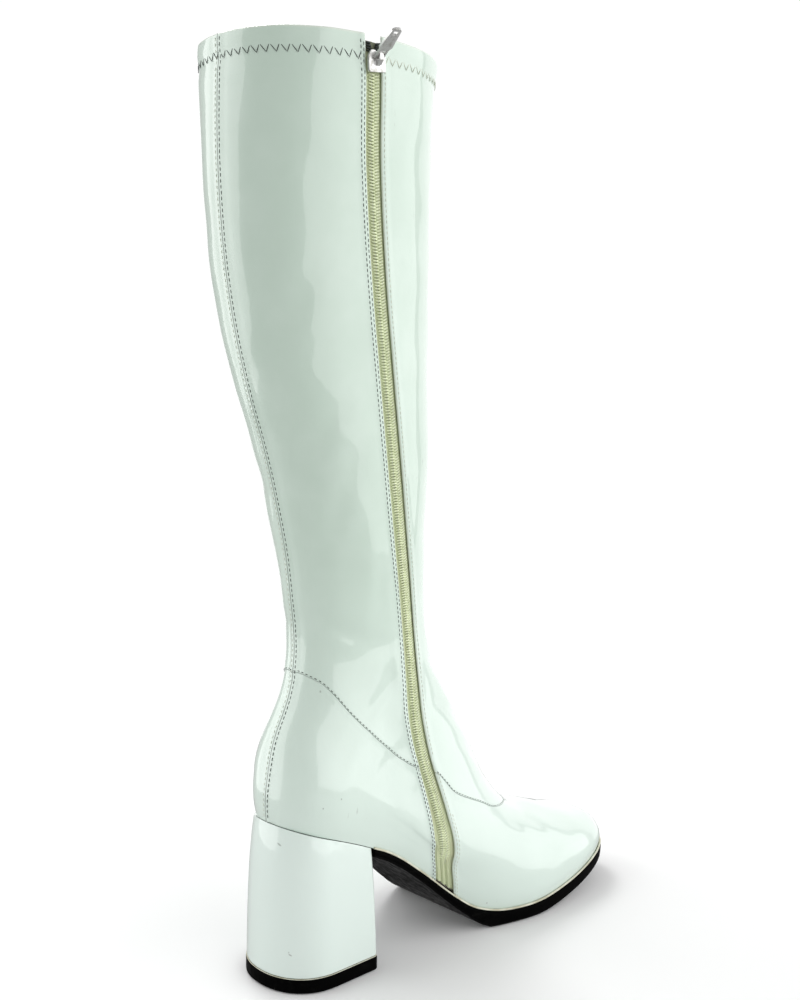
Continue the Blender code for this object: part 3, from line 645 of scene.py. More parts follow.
def stitch_row(name, thread, skin, paths, step, long):
    """A row of stitches along paths of (point, outward) pairs."""
    places = []
    for path in paths:
        line = np.array([list(p) for p, out in path])
        outs = np.array([list(out) for p, out in path])
        run = running(line)
        want = step / 2
        for at, along in evenly(line, step):
            out = Vector(between(run, outs, want)).normalized()
            want += step
            places.append((skin.near(at, out) + out * THREAD_LIFT, along, out))
    piece = repeat(name, stitch_shape("one_stitch", long, THREAD_WIDE, THREAD_HIGH), places)
    return dress(piece, "boot", "white_patent", thread)


def upward(offset_of, low, high, count=150):
    """Path up the upper, at the distance from the zip's centre that a ring's offset gives."""
    return [stand(t, offset_of(ring(t)))[:2] for t in np.linspace(low, high, count)]


def along_zip(from_edge, side, low, high, count=150):
    """Path beside the zip's opening, at a distance from its edge."""
    return upward(lambda here: side * (here.half + from_edge), low, high, count)


def along_back(offset, low=0.25, high=17.9):
    """Path beside the back seam; a positive offset is on its inner side."""
    return upward(lambda here: -here.zip + offset, low, high)


def along_foot_seam(offset):
    """Paths on the inner side up to the zip's edges, and all round the outer side."""
    above, margin = 0.2, 0.3
    groups, path = [], []
    for share in np.linspace(0.0, 1.0, 500):
        turn = min(share, 1.0 - share)
        t = smooth_table(FOOT_SEAM, turn)
        low, high = ring(t), ring(t + above)
        rise = Vector(high.at(share * high.whole)) - Vector(low.at(share * low.whole))
        t = t + above * offset / max(rise.length, 1.0)
        here = ring(t)
        length = share * here.whole
        if abs(length - here.zip) < here.half + margin:
            if path:
                groups.append(path)
            path = []
            continue
        path.append(stand(t, length - here.zip)[:2])
    return groups + [path]


def along_collar(skin):
    """Corners of the zigzag stitch under the collar, from the zip's front edge to its rear edge."""
    half_high, leg_wide, margin = 2.0, 2.35, 2.2
    t = TOP_RING - HEM_DEPTH / TOP_SPAN
    reach = half_high / TOP_SPAN
    here = ring(t)
    start, end = here.zip + here.half + margin, here.whole + here.zip - here.half - margin
    count = int((end - start) / leg_wide)
    corners = []
    for k in range(count + 1):
        length = start + (end - start) * k / count
        p, out, up = stand(t + (reach if k % 2 else -reach), length - here.zip)
        corners.append((skin.near(p, out), out))
    return corners


def build_threads(skin, dark, pale):
    """Every seam's stitches, and the zigzag round the collar."""
    low, high, instep = 0.12, 17.75, 5.6
    leg_overlap, leg_lift = 1.06, 0.08
    rear = [along_zip(1.35, -1, low, high), along_zip(2.9, -1, low, high)]
    stitch_row("zip_stitches_rear", dark, skin, rear, 2.45, 1.75)
    # Pale thread on the zip's front side: the dark thread painted lighter as painted glare where the light
    # falls.
    stitch_row("zip_stitches_front", pale, skin, [along_zip(1.6, 1, low, high)], 2.45, 1.7)
    stitch_row("zip_stitches_foot", pale, skin, [along_zip(3.1, 1, low, instep, 80)], 2.45, 1.7)
    stitch_row("back_seam_stitches", dark, skin, [along_back(1.55)], 2.6, 1.9)
    stitch_row("back_row_stitches", pale, skin, [along_back(-1.5)], 2.6, 1.5)
    stitch_row("foot_seam_stitches", dark, skin, along_foot_seam(0.9), 2.5, 1.55)
    corners = along_collar(skin)
    legs = []
    for (a, out_a), (b, out_b) in zip(corners, corners[1:]):
        out = (out_a + out_b).normalized()
        legs.append(((a + b) / 2 + out * leg_lift, b - a, out))
    long = (corners[1][0] - corners[0][0]).length
    # The zigzag's front quarter is in the pale thread: painted glare on the lit side.
    change = len(legs) // 4
    for name, places, thread in (("collar_zigzag_front", legs[:change], pale),
                                 ("collar_zigzag_rear", legs[change:], dark)):
        piece = repeat(name, stitch_shape("one_leg", long * leg_overlap, THREAD_WIDE, THREAD_HIGH), places)
        dress(piece, "boot", "white_patent", thread)


TAPE_TOP = 452.0        # height of the tapes' ends
TAPE_GAP = 0.12         # from the zip's middle to a tape's edge
TAPE_HIDDEN = 7.6       # width of a tape under the vinyl
TAPE_SINK = 0.35        # from the vinyl's inner face to a tape
TAPE_THICK = 0.5
TAPE_WEAVE = 12.0       # width over which the weave is counted
GATHER_HIGH, GATHER_FADE = 58.0, 14.0    # the gathers end at this height, over this length


def tape_sink(t, offset):
    """Depth of a tape under the vinyl's face; near the sole it rises into soft ridges."""
    half = ring(t).half
    margin, slope, ridge_wide, ridge_shift, ridge_low, ridge_high = 0.2, 1.2, 0.56, 0.18, 0.15, 1.05
    fade = held((GATHER_HIGH - surface(t, 0.0).z) / GATHER_FADE)
    near = held((half - margin - abs(offset)) / slope)
    wave = 0.5 + 0.5 * math.cos(2 * math.pi * (offset / (ridge_wide * half) + ridge_shift))
    return WALL + TAPE_SINK - near * fade * (ridge_low + ridge_high * wave)


def build_tapes(cloth):
    """Woven tapes behind the opening, gathered near the sole."""
    rows = list(np.linspace(0.32, 3.0, 50)) + list(np.linspace(3.06, row_at_height(TAPE_TOP), 120))
    across = np.linspace(0.0, 1.0, 22)
    heights = np.array([surface(t, 0.0).z for t in rows])
    for side, name, node in ((1, "tape_front", "zip_tape_front"), (-1, "tape_rear", "zip_tape_rear")):
        points = []
        for t in rows:
            line = []
            for a in across:
                offset = side * (TAPE_GAP + (ring(t).half + TAPE_HIDDEN - TAPE_GAP) * a)
                p, out, up = stand(t, offset)
                line.append(list(p - out * tape_sink(t, offset)))
            points.append(line)
        piece, i, j = grid_piece(name, np.array(points))
        field(piece, "along_mm", heights[i])
        field(piece, "across_mm", (across * TAPE_WEAVE * side)[j])
        wall = piece.modifiers.new("cloth", "SOLIDIFY")
        wall.thickness = TAPE_THICK * MM
        wall.offset = -1.0
        finish_modifiers(piece)
        dress(smooth(piece, 60.0), "boot", "zip_cloth", cloth)
        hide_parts(node)


COIL_PITCH = 1.42
COIL_SINK = 0.88        # from the vinyl's face to a loop's middle
COIL_LOW, COIL_HIGH = 44.0, 438.0
COIL_DIP, DIP_HIGH, DIP_FADE = 1.3, 52.0, 8.0    # the coil dips under the vinyl at its lower end
SEWING_SIDE, SEWING_SINK = 1.75, 0.28
LOOP_REACH, LOOP_LONG = 3.05, 3.35       # from the middle to a loop's root, and the loop's length
LOOP_THICK, LOOP_HIGH, LOOP_SLANT, LOOP_ARCH = 1.0, 1.25, 0.55, 0.25
NECK, HEAD, HEAD_AT, HEAD_SPREAD, END_TAPER = 0.80, 0.45, 0.8, 0.18, 0.6


def coil_tooth(name, side):
    """One loop of the coil: a rounded bar from the tape to a thicker head at the middle."""
    deselect()
    bpy.ops.mesh.primitive_cylinder_add(vertices=8, radius=0.5, depth=1.0, end_fill_type="TRIFAN",
                                        rotation=(0, math.pi / 2, 0))
    thing = settle(take(name))
    bpy.ops.object.mode_set(mode="EDIT")
    for cut in (-0.25, 0.0, 0.3):
        bpy.ops.mesh.select_all(action="SELECT")
        bpy.ops.mesh.bisect(plane_co=(cut, 0, 0), plane_no=(1, 0, 0))
    bpy.ops.object.mode_set(mode="OBJECT")
    for v in thing.data.vertices:
        share = v.co.x + 0.5            # 0 at the tape's side, 1 at the head
        swell = NECK + HEAD * math.exp(-((share - HEAD_AT) / HEAD_SPREAD) ** 2)
        if share < 0.02 or share > 0.98:
            swell *= END_TAPER
        v.co = Vector((side * (LOOP_REACH - LOOP_LONG * share) * MM,
                       (v.co.y * LOOP_THICK * swell - LOOP_SLANT * share) * MM,
                       (v.co.z * LOOP_HIGH * swell + LOOP_ARCH * math.sin(math.pi * share)) * MM))
    if side > 0:
        thing.data.flip_normals()
    return thing


def build_coil(nylon, thread):
    """Closed coil: loops from both tapes meeting in a herringbone, and its two sewing lines."""
    rows = [t for t in np.linspace(1.0, row_at_height(COIL_HIGH), 400) if surface(t, 0.0).z > COIL_LOW]
    middle = [list(surface(t, 0.0)) for t in rows]
    heights = [p[2] for p in middle]
    front_loops, rear_loops, stitches = [], [], []
    for at, along in evenly(middle, COIL_PITCH):
        t = float(np.interp(at.z, heights, rows))
        dip = COIL_DIP * held((DIP_HIGH - at.z) / DIP_FADE) ** 2
        p, out, up = stand(t, 0.0)
        front_loops.append((p - out * (COIL_SINK + dip), along, out))
        rear_loops.append((p + along * COIL_PITCH / 2 - out * (COIL_SINK + dip), along, out))
        for side in (-1, 1):
            q, q_out, q_up = stand(t, side * SEWING_SIDE)
            stitches.append((q - q_out * (SEWING_SINK + dip), along, q_out))
    front = repeat("zip_coil_front", coil_tooth("front_tooth", 1), front_loops)
    dress(front, "boot", "zip_nylon", nylon)
    rear = repeat("zip_coil_rear", coil_tooth("rear_tooth", -1), rear_loops)
    dress(rear, "boot", "zip_nylon", nylon)
    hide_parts("zip_coil")
    piece = repeat("zip_coil_thread", stitch_shape("coil_stitch", 1.1, 0.36, THREAD_HIGH), stitches)
    dress(piece, "boot", "zip_nylon", thread)


def build_open_teeth(dark):
    """Loops of the coil that stand apart over the slider, up to the collar, in the near-black thread as
    painted shade.
    """
    count, low, pitch, apart, spread, sink = 4, 448.2, 1.15, 0.7, 0.35, 0.85
    for side, name in ((1, "zip_open_teeth_front"), (-1, "zip_open_teeth_rear")):
        places = []
        for k in range(count):
            p, out, up = stand(row_at_height(low + pitch * k), side * (apart + spread * k))
            places.append((p - out * sink, up, out))
        piece = repeat(name, coil_tooth("open_tooth", side), places)
        # The dark thread's near-black colour here is painted shade over the open teeth.
        dress(piece, "boot", "zip_nylon", dark)


def copy_of(node, name, bevel_mm, segments=3, angle=30.0):
    """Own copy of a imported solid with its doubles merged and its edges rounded."""
    source = bpy.data.objects[node]
    piece = source.copy()
    piece.data = source.data.copy()
    piece.name = name
    piece.data.name = name
    bpy.context.scene.collection.objects.link(piece)
    piece.parent = None
    piece.matrix_world = Matrix.Identity(4)
    shape = bmesh.new()
    shape.from_mesh(piece.data)
    bmesh.ops.remove_doubles(shape, verts=shape.verts, dist=0.00001)
    bmesh.ops.dissolve_limit(shape, angle_limit=math.radians(1.0), verts=shape.verts, edges=shape.edges)
    shape.to_mesh(piece.data)
    shape.free()
    edge = piece.modifiers.new("edges", "BEVEL")
    edge.width = bevel_mm * MM
    edge.segments = segments
    edge.limit_method = "ANGLE"
    edge.angle_limit = math.radians(angle)
    finish_modifiers(piece)
    return smooth(piece)


SEAT_GAP = 0.3          # between the heel's cover and what it stands on or carries
LIFT_HIGH = 7.3
HEEL_CORNER = 2.5       # radius of the heel's upright front edges


def heel_loop(back, half, front, height):
    """Closed D-shaped loop of the heel, anticlockwise from the middle of its back."""
    power = 2.15
    side = []
    for k in range(25):
        q = k / 24 * math.pi / 2
        side.append((half * math.sin(q) ** (2 / power), back * math.cos(q) ** (2 / power)))
    side += [(half, (front - HEEL_CORNER) * f) for f in (0.25, 0.5, 0.75)]
    for k in range(7):
        q = k / 6 * math.pi / 2
        side.append((half - HEEL_CORNER * (1 - math.cos(q)), front - HEEL_CORNER * (1 - math.sin(q))))
    side += [((half - HEEL_CORNER) * f, front) for f in (0.66, 0.33)]
    whole = side + [(0.0, front)] + [(-x, y) for x, y in reversed(side[1:])] + [side[0]]
    return [[x, y, height(y)] for x, y in whole]


def close_rings(piece):
    """Joins the ends of a rolled grid and fills its open rings."""
    shape = bmesh.new()
    shape.from_mesh(piece.data)
    bmesh.ops.remove_doubles(shape, verts=shape.verts, dist=0.00002)
    rim = [e for e in shape.edges if e.is_boundary]
    if rim:
        bmesh.ops.holes_fill(shape, edges=rim, sides=0)
    bmesh.ops.recalc_face_normals(shape, faces=shape.faces)
    shape.to_mesh(piece.data)
    shape.free()
    return piece


def build_heel(vinyl):
    """Vinyl-covered heel block with a softly rounded rim over the lift."""
    low, wave_high, waves = LIFT_HIGH + SEAT_GAP, 0.036, 9.0
    rows = []
    shares = [0.0, 0.004, 0.012, 0.025] + list(np.linspace(0.05, 0.99, 26)) + [1.0]
    for share in shares:
        back, half, front = (smooth_table([(row[0], row[k]) for row in HEEL], share) for k in (1, 2, 3))
        rise = (over_feather(0.0, -SEAT_GAP) - low) * share
        trim = edge_drop(rise)
        wave = wave_high * math.sin(share * waves)

        def height(y, share=share):
            return low + (over_feather(y, -SEAT_GAP) - low) * share
        rows.append(heel_loop(back + trim, half - trim + wave, front - trim, height))
    piece, i, j = grid_piece("heel_cover", np.array(rows))
    close_rings(piece)
    dress(smooth(piece, 50.0), "boot", "white_patent", vinyl)
    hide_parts("heel")


def cord_along(name, centre, radius, flat=1.0, sides=8):
    """Thin bead with a round section along a line of (point, outward, up) in mm."""
    rows = []
    for p, out, up in centre:
        rows.append([list(p + out * radius * math.cos(a) + up * radius * flat * math.sin(a))
                     for a in np.linspace(0.0, 2 * math.pi, sides + 1)])
    piece, i, j = grid_piece(name, np.array(rows))
    return smooth(close_rings(piece), 60.0)


def build_beads(welt):
    """Cream bead between the upper and the sole, and a thin one over the heel's lift."""
    here = ring(0.0)
    heel_front, outside, over, radius = 26.4, 0.85, 0.30, 0.62
    upright = Vector((0, 0, 1))
    line = []
    for share in np.linspace(0.0, 1.0, 700):
        length = share * here.whole
        p = Vector(here.at(length))
        if p.y < heel_front:
            continue
        run = (Vector(here.at(length + 0.5)) - Vector(here.at(length - 0.5))).normalized()
        out = Vector((run.y, -run.x, 0.0)).normalized()
        up = out.cross(run).normalized()
        up = up if up.z > 0 else -up
        line.append((p + out * outside + upright * over, out, up))
    dress(cord_along("welt_bead", line, radius, 0.9), "boot", "black_sole", welt)

    over, inside, radius = 0.12, 0.12, 0.32
    loop = [Vector(p) for p in heel_loop(*HEEL[0][1:], lambda y: LIFT_HIGH + over)][:-1]
    line = []
    for k, p in enumerate(loop):
        run = (loop[(k + 1) % len(loop)] - loop[k - 1]).normalized()
        out = Vector((run.y, -run.x, 0))
        line.append((p - out * inside, out, upright))
    line.append(line[0])
    dress(cord_along("heel_bead", line, radius, 0.55, 6), "boot", "black_sole", welt)


class Tree:
    """Short hand for wiring one node tree."""

    def __init__(self, tree):
        self.tree = tree
        self.column = 0

    def add(self, kind, **settings):
        """New node, beside the last one."""
        node = self.tree.nodes.new(kind)
        self.column += 1
        node.location = (self.column * 180, 0)
        for key, value in settings.items():
            setattr(node, key, value)
        return node

    def feed(self, socket, value):
        """Links an output to a socket, or sets the socket to a constant."""
        if isinstance(value, bpy.types.NodeSocket):
            self.tree.links.new(value, socket)
        else:
            socket.default_value = value

    def math(self, operation, a, b=0.0, c=0.0, clamp=False):
        node = self.add("ShaderNodeMath", operation=operation, use_clamp=clamp)
        for socket, value in zip(node.inputs, (a, b, c)):
            self.feed(socket, value)
        return node.outputs[0]

    def ramp(self, value, low, high, start=0.0, end=1.0):
        """Value moved smoothly from start to end between low and high."""
        node = self.add("ShaderNodeMapRange", interpolation_type="SMOOTHSTEP")
        for socket, number in zip(node.inputs, (value, low, high, start, end)):
            self.feed(socket, number)
        return node.outputs[0]

    def mix(self, share, a, b):
        node = self.add("ShaderNodeMix", data_type="RGBA")
        self.feed(node.inputs[0], share)
        self.feed(node.inputs[6], a)
        self.feed(node.inputs[7], b)
        return node.outputs[2]

    def noise(self, place, scale, detail=2.0, roughness=0.5, stretch=None):
        if stretch:
            turn = self.add("ShaderNodeMapping")
            self.feed(turn.inputs["Vector"], place)
            turn.inputs["Scale"].default_value = stretch
            place = turn.outputs[0]
        node = self.add("ShaderNodeTexNoise")
        self.feed(node.inputs["Vector"], place)
        node.inputs["Scale"].default_value = scale
        node.inputs["Detail"].default_value = detail
        node.inputs["Roughness"].default_value = roughness
        return node.outputs[0]

    def place(self):
        return self.add("ShaderNodeTexCoord").outputs["Object"]

    def number(self, name):
        return self.add("ShaderNodeAttribute", attribute_name=name).outputs["Fac"]


def group(name, takes, gives):
    """Empty shared node group; takes and gives name its inputs and outputs."""
    tree = bpy.data.node_groups.new(name, "ShaderNodeTree")
    for label in takes:
        tree.interface.new_socket(label, in_out="INPUT", socket_type="NodeSocketFloat")
    for label in gives:
        tree.interface.new_socket(label, in_out="OUTPUT", socket_type="NodeSocketFloat")
    inside = Tree(tree)
    start = inside.add("NodeGroupInput")
    end = inside.add("NodeGroupOutput")
    return tree, inside, start.outputs, end.inputs


def line_group():
    """Mask of a line: 1 within half its width of distance zero, soft outside."""
    tree, t, takes, gives = group("line_mask", ("Distance", "Half", "Soft"), ("Mask",))
    away = t.math("ABSOLUTE", takes[0])
    edge = t.math("ADD", takes[1], takes[2])
    t.feed(gives[0], t.ramp(away, takes[1], edge, 1.0, 0.0))
    return tree


def surface_wander_group():
    """Slow and fine waviness of a stretched sheet, in mm."""
    tree, t, takes, gives = group("sheet_waviness", ("Amount",), ("Height", "Patch"))
    place = t.place()
    slow = t.noise(place, 38.0, 2.0, 0.45, (1.0, 1.0, 0.6))
    fine = t.noise(place, 190.0, 2.0, 0.5)
    height = t.math("MULTIPLY_ADD", fine, 0.16, slow)
    t.feed(gives[0], t.math("MULTIPLY", height, takes[0]))
    t.feed(gives[1], t.noise(place, 24.0, 3.0, 0.6))
    return tree


def wear_group():
    """Thinly scattered specks and short scuffs; the share of the surface they take is small."""
    tree, t, takes, gives = group("wear_marks", ("Specks", "Scuffs"), ("Mask",))
    rare, common = 0.84, 0.99
    place = t.place()
    spots = t.add("ShaderNodeTexVoronoi", feature="F1")
    t.feed(spots.inputs["Vector"], place)
    spots.inputs["Scale"].default_value = 34.0
    size = t.add("ShaderNodeSeparateColor")
    t.feed(size.inputs[0], spots.outputs["Color"])
    chance = t.ramp(size.outputs[0], rare, common, 0.0, 0.028)
    speck = t.ramp(t.math("SUBTRACT", spots.outputs["Distance"], chance), 0.0, 0.012, 1.0, 0.0)
    speck = t.math("MULTIPLY", speck, t.math("GREATER_THAN", size.outputs[0], rare))
    rub = t.noise(place, 300.0, 3.0, 0.7, (1.0, 1.0, 0.2))
    patch = t.noise(place, 30.0, 1.0, 0.5)
    scuff = t.math("MULTIPLY", t.ramp(rub, 0.66, 0.74), t.ramp(patch, 0.60, 0.70))
    speck = t.math("MULTIPLY", speck, takes[0])
    scuff = t.math("MULTIPLY", scuff, takes[1])
    t.feed(gives[0], t.math("ADD", speck, scuff, clamp=True))
    return tree


def nick_group():
    """Mask of the few listed nicks, each a short thin stroke round its place."""
    tree, t, takes, gives = group("nicks", ("Core",), ("Mask",))
    half_wide, soft_end = 0.28, 1.6
    place = t.place()
    mask = 0.0
    for x, y, z, long, lean in NICKS:
        near = t.add("ShaderNodeMapping", vector_type="TEXTURE")
        t.feed(near.inputs["Vector"], place)
        near.inputs["Location"].default_value = (x * MM, y * MM, z * MM)
        near.inputs["Rotation"].default_value = (math.radians(lean), 0.0, 0.0)
        near.inputs["Scale"].default_value = (MM, half_wide * MM, long * 0.5 * MM)
        away = t.add("ShaderNodeVectorMath", operation="LENGTH")
        t.feed(away.inputs[0], near.outputs[0])
        mask = t.math("MAXIMUM", mask, t.ramp(away.outputs["Value"], takes[0], soft_end, 1.0, 0.0))
    t.feed(gives[0], mask)
    return tree


def weave_group():
    """Fine ribbed weave in mm from two distances across and along a tape."""
    tree, t, takes, gives = group("tape_weave", ("Across", "Along"), ("Height",))
    ribs = t.math("SINE", t.math("MULTIPLY", takes[0], 8.6))
    picks = t.math("SINE", t.math("MULTIPLY_ADD", takes[0], 4.3, t.math("MULTIPLY", takes[1], 11.0)))
    t.feed(gives[0], t.math("MULTIPLY_ADD", ribs, 0.6, t.math("MULTIPLY", picks, 0.4)))
    return tree


COAT_ROUGHNESS = 0.03
GLASSY_IOR = 1.5


def look(name, colour, roughness, metallic=0.0, coat=0.0, sheen=0.0, specular=0.5):
    """New material with its constants set straight on the shader; gives it with its tree."""
    material = bpy.data.materials.new(name)
    material.use_nodes = True
    material.diffuse_color = (*colour, 1.0)
    shader = next(n for n in material.node_tree.nodes if n.type == "BSDF_PRINCIPLED")
    shader.inputs["Base Color"].default_value = (*colour, 1.0)
    shader.inputs["Roughness"].default_value = roughness
    shader.inputs["Metallic"].default_value = metallic
    shader.inputs["Coat Weight"].default_value = coat
    shader.inputs["Coat Roughness"].default_value = COAT_ROUGHNESS
    shader.inputs["IOR"].default_value = GLASSY_IOR
    shader.inputs["Sheen Weight"].default_value = sheen
    shader.inputs["Specular IOR Level"].default_value = specular
    return material, Tree(material.node_tree), shader


def use(t, tree, *values):
    """Adds a shared group and gives its outputs."""
    node = t.add("ShaderNodeGroup", node_tree=tree)
    for socket, value in zip(node.inputs, values):
        t.feed(socket, value)
    return node.outputs


def bump(t, shader, height, strength=1.0, coat=False):
    """Bump whose height is in mm, for the body and, if it has one, the coat."""
    node = t.add("ShaderNodeBump")
    node.inputs["Strength"].default_value = strength
    node.inputs["Distance"].default_value = MM
    t.feed(node.inputs["Height"], height)
    t.feed(shader.inputs["Normal"], node.outputs[0])
    if coat:
        t.feed(shader.inputs["Coat Normal"], node.outputs[0])


PATENT = (0.57, 0.69, 0.60)
PATENT_DEEP, PATENT_PALE = (0.545, 0.665, 0.575, 1), (0.585, 0.70, 0.615, 1)
# Lighter, bluer foot and heel colours: painted light from the bright floor below.
FOOT_PAINTED_LIGHT, HEEL_PAINTED_LIGHT = (0.66, 0.765, 0.70, 1), (0.72, 0.815, 0.765, 1)
# Painted highlight of the folded edges, painted shade of the seams, and the dark of real wear marks.
FOLD_PAINTED_HIGHLIGHT, SEAM_PAINTED_SHADE, MARK_DARK = (0.74, 0.78, 0.68, 1), (0.13, 0.16, 0.13, 1), (0.20, 0.21, 0.18, 1)
VINYL_ROUGH = 0.32


def patent_look(name, shared, with_seams):
    """Glossy white patent vinyl, painted lighter low down as painted light from the floor; on the upper it
    also has its seams, with painted shade in them, and a painted highlight along its folded edges.
    """
    line, waviness, wear, nicks = shared
    material, t, shader = look(name, PATENT, VINYL_ROUGH, coat=1.0)
    wander = use(t, waviness, 0.22)
    marks = t.math("MAXIMUM", use(t, wear, 1.0, 0.6)[0], use(t, nicks, 0.7)[0])
    spot = t.add("ShaderNodeSeparateXYZ")
    t.feed(spot.inputs[0], t.place())
    # Painted light: fully lighter below 40 mm, fading out by 240 mm, as if lit from the floor.
    foot = t.ramp(spot.outputs["Z"], 0.04, 0.24, 1.0, 0.0)
    colour = t.mix(t.ramp(wander[1], 0.35, 0.7), PATENT_DEEP, PATENT_PALE)
    colour = t.mix(foot, colour, FOOT_PAINTED_LIGHT if with_seams else HEEL_PAINTED_LIGHT)
    height = wander[0]
    if with_seams:
        seam, back, slot, collar = (t.number(n) for n in ("seam_mm", "back_mm", "slot_mm", "collar_mm"))
        seam_line = use(t, line, seam, 0.10, 0.22)[0]
        back_line = use(t, line, back, 0.12, 0.22)[0]
        # The seam lines: painted darker as painted shade in their grooves, and pressed in by the bump.
        cut = t.math("MAXIMUM", t.math("MULTIPLY", seam_line, 0.28), back_line)
        # Painted highlight: a paler line along the zip's folded edges and the collar's edge.
        zip_fold_highlight = use(t, line, slot, 0.25, 0.6)[0]
        rim = use(t, line, collar, 0.4, 0.9)[0]
        edge = t.math("MAXIMUM", zip_fold_highlight, rim)
        colour = t.mix(t.math("MULTIPLY", edge, 0.5), colour, FOLD_PAINTED_HIGHLIGHT)
        colour = t.mix(t.math("MULTIPLY", cut, 0.7), colour, SEAM_PAINTED_SHADE)
        step = t.math("MULTIPLY", t.ramp(seam, -0.2, 0.2), 0.35)
        holes = t.math("MULTIPLY", cut, -0.45)
        pucker = t.noise(t.place(), 420.0, 1.0, 0.5)
        sewn = t.math("MAXIMUM", use(t, line, seam, 1.4, 2.6)[0], use(t, line, back, 2.2, 2.4)[0])
        sewn = t.math("MAXIMUM", sewn, use(t, line, slot, 3.2, 2.4)[0])
        height = t.math("ADD", height, t.math("ADD", step, holes))
        height = t.math("MULTIPLY_ADD", t.math("MULTIPLY", pucker, sewn), 0.10, height)
    colour = t.mix(t.math("MULTIPLY", marks, 0.55), colour, MARK_DARK)
    t.feed(shader.inputs["Base Color"], colour)
    t.feed(shader.inputs["Roughness"], t.math("MULTIPLY_ADD", marks, 0.3, VINYL_ROUGH))
    bump(t, shader, height, coat=True)
    return material


# Plain finishes: name, colour, roughness and other constants; then how the colour drifts between
# two tones: scale and detail of its noise, the part of the noise that counts, and both tones;
# then the fine grain: scale, detail, roughness and stretch of its noise, its height in mm and its
# strength; and last, how the roughness follows a noise: scale or none for the colour's, its part,
# and both ends.
PLAIN_LOOKS = {
    "lining": ("backing_cloth", (0.74, 0.72, 0.64), 0.9, {"sheen": 0.2},
               (45.0, 3.0, 0.5), None, (0.66, 0.64, 0.56), (0.80, 0.78, 0.70),
               (1500.0, 1.0, 0.5, (1.0, 1.0, 0.6)), 0.25, 0.7, None),
    "sock": ("sock_lining", (0.60, 0.57, 0.48), 0.75, {},
             (30.0, 3.0, 0.5), None, (0.54, 0.51, 0.42), (0.66, 0.63, 0.55),
             (900.0, 3.0, 0.6), 0.2, 0.6, None),
    "dark_thread": ("dark_thread", (0.03, 0.037, 0.034), 0.7, {},
                    (700.0, 2.0, 0.5), None, (0.014, 0.019, 0.016), (0.05, 0.062, 0.055),
                    (3000.0, 1.0), 0.08, 0.8, None),
    # Pale thread: the dark thread painted lighter as painted glare on the lit rows; the coil's sewing
    # thread uses it too.
    "thread_pale_and_glare": ("thread_pale_and_glare", (0.55, 0.58, 0.47), 0.65, {"sheen": 0.3},
                    (700.0, 2.0, 0.5), None, (0.40, 0.43, 0.33), (0.66, 0.69, 0.58),
                    (3000.0, 1.0), 0.08, 0.8, None),
    "nylon": ("zip_nylon", (0.56, 0.60, 0.38), 0.35, {},
              (260.0, 2.0, 0.5), (0.3, 0.7), (0.62, 0.68, 0.43), (0.77, 0.83, 0.57),
              (2200.0, 1.0), 0.04, 0.5, ((90.0, 2.0), 0.3, 0.7, 0.28, 0.45)),
    "metal": ("plated_metal", (0.68, 0.68, 0.67), 0.38, {"metallic": 1.0},
              (520.0, 3.0, 0.6), (0.45, 0.7), (0.70, 0.70, 0.69), (0.52, 0.51, 0.48),
              (1400.0, 2.0), 0.03, 0.3, (None, 0.3, 0.7, 0.32, 0.46)),
    "rubber": ("black_rubber", (0.003, 0.003, 0.003), 0.42, {"specular": 0.01},
               (260.0, 4.0, 0.7, (1.0, 0.25, 1.0)), (0.5, 0.75), (0.0015, 0.0015, 0.0015),
               (0.005, 0.005, 0.0045), (1300.0, 3.0), 0.04, 0.4, (None, 0.35, 0.7, 0.34, 0.62)),
    "cream": ("cream_bead", (0.62, 0.61, 0.47), 0.5, {},
              (120.0, 3.0, 0.5), (0.35, 0.7), (0.52, 0.50, 0.37), (0.72, 0.72, 0.60),
              (1500.0, 2.0), 0.05, 0.5, None),
}


def plain_look(name, colour, rough, settings, drift, part, low, high, grain, grain_mm, strength, wear):
    """Finish whose colour drifts between two tones, under a fine grain."""
    material, t, shader = look(name, colour, rough, **settings)
    place = t.place()
    tone = t.noise(place, *drift)
    share = t.ramp(tone, *part) if part else tone
    t.feed(shader.inputs["Base Color"], t.mix(share, (*low, 1), (*high, 1)))
    if wear:
        noise_of, *ends = wear
        follow = t.noise(place, *noise_of) if noise_of else tone
        t.feed(shader.inputs["Roughness"], t.ramp(follow, *ends))
    bump(t, shader, t.math("MULTIPLY", t.noise(place, *grain), grain_mm), strength)
    return material


def build_looks():
    """All finishes of the boot, by name."""
    shared = (line_group(), surface_wander_group(), wear_group(), nick_group())
    weave = weave_group()
    looks = {"vinyl": patent_look("white_patent_upper", shared, True),
             "heel_vinyl": patent_look("white_patent_heel", shared, False)}

    for key, settings in PLAIN_LOOKS.items():
        looks[key] = plain_look(*settings)

    material, t, shader = look("zip_cloth", (0.50, 0.55, 0.33), 0.85, sheen=0.25)
    across, along = t.number("across_mm"), t.number("along_mm")
    cloth = use(t, weave, across, along)[0]
    colour = t.mix(t.ramp(cloth, -0.8, 0.8), (0.46, 0.52, 0.30, 1), (0.67, 0.73, 0.47, 1))
    grubby = t.ramp(t.noise(t.place(), 40.0, 3.0), 0.4, 0.75, 0.0, 0.4)
    colour = t.mix(grubby, colour, (0.46, 0.45, 0.28, 1))
    # Painted shadow: the tapes' ends above the slider are painted nearly black.
    top = t.math("MULTIPLY", t.ramp(along, 446.0, 449.0), 0.75)
    t.feed(shader.inputs["Base Color"], t.mix(top, colour, (0.05, 0.05, 0.04, 1)))
    bump(t, shader, t.math("MULTIPLY", cloth, 0.09), 0.8)
    looks["cloth"] = material
    return looks


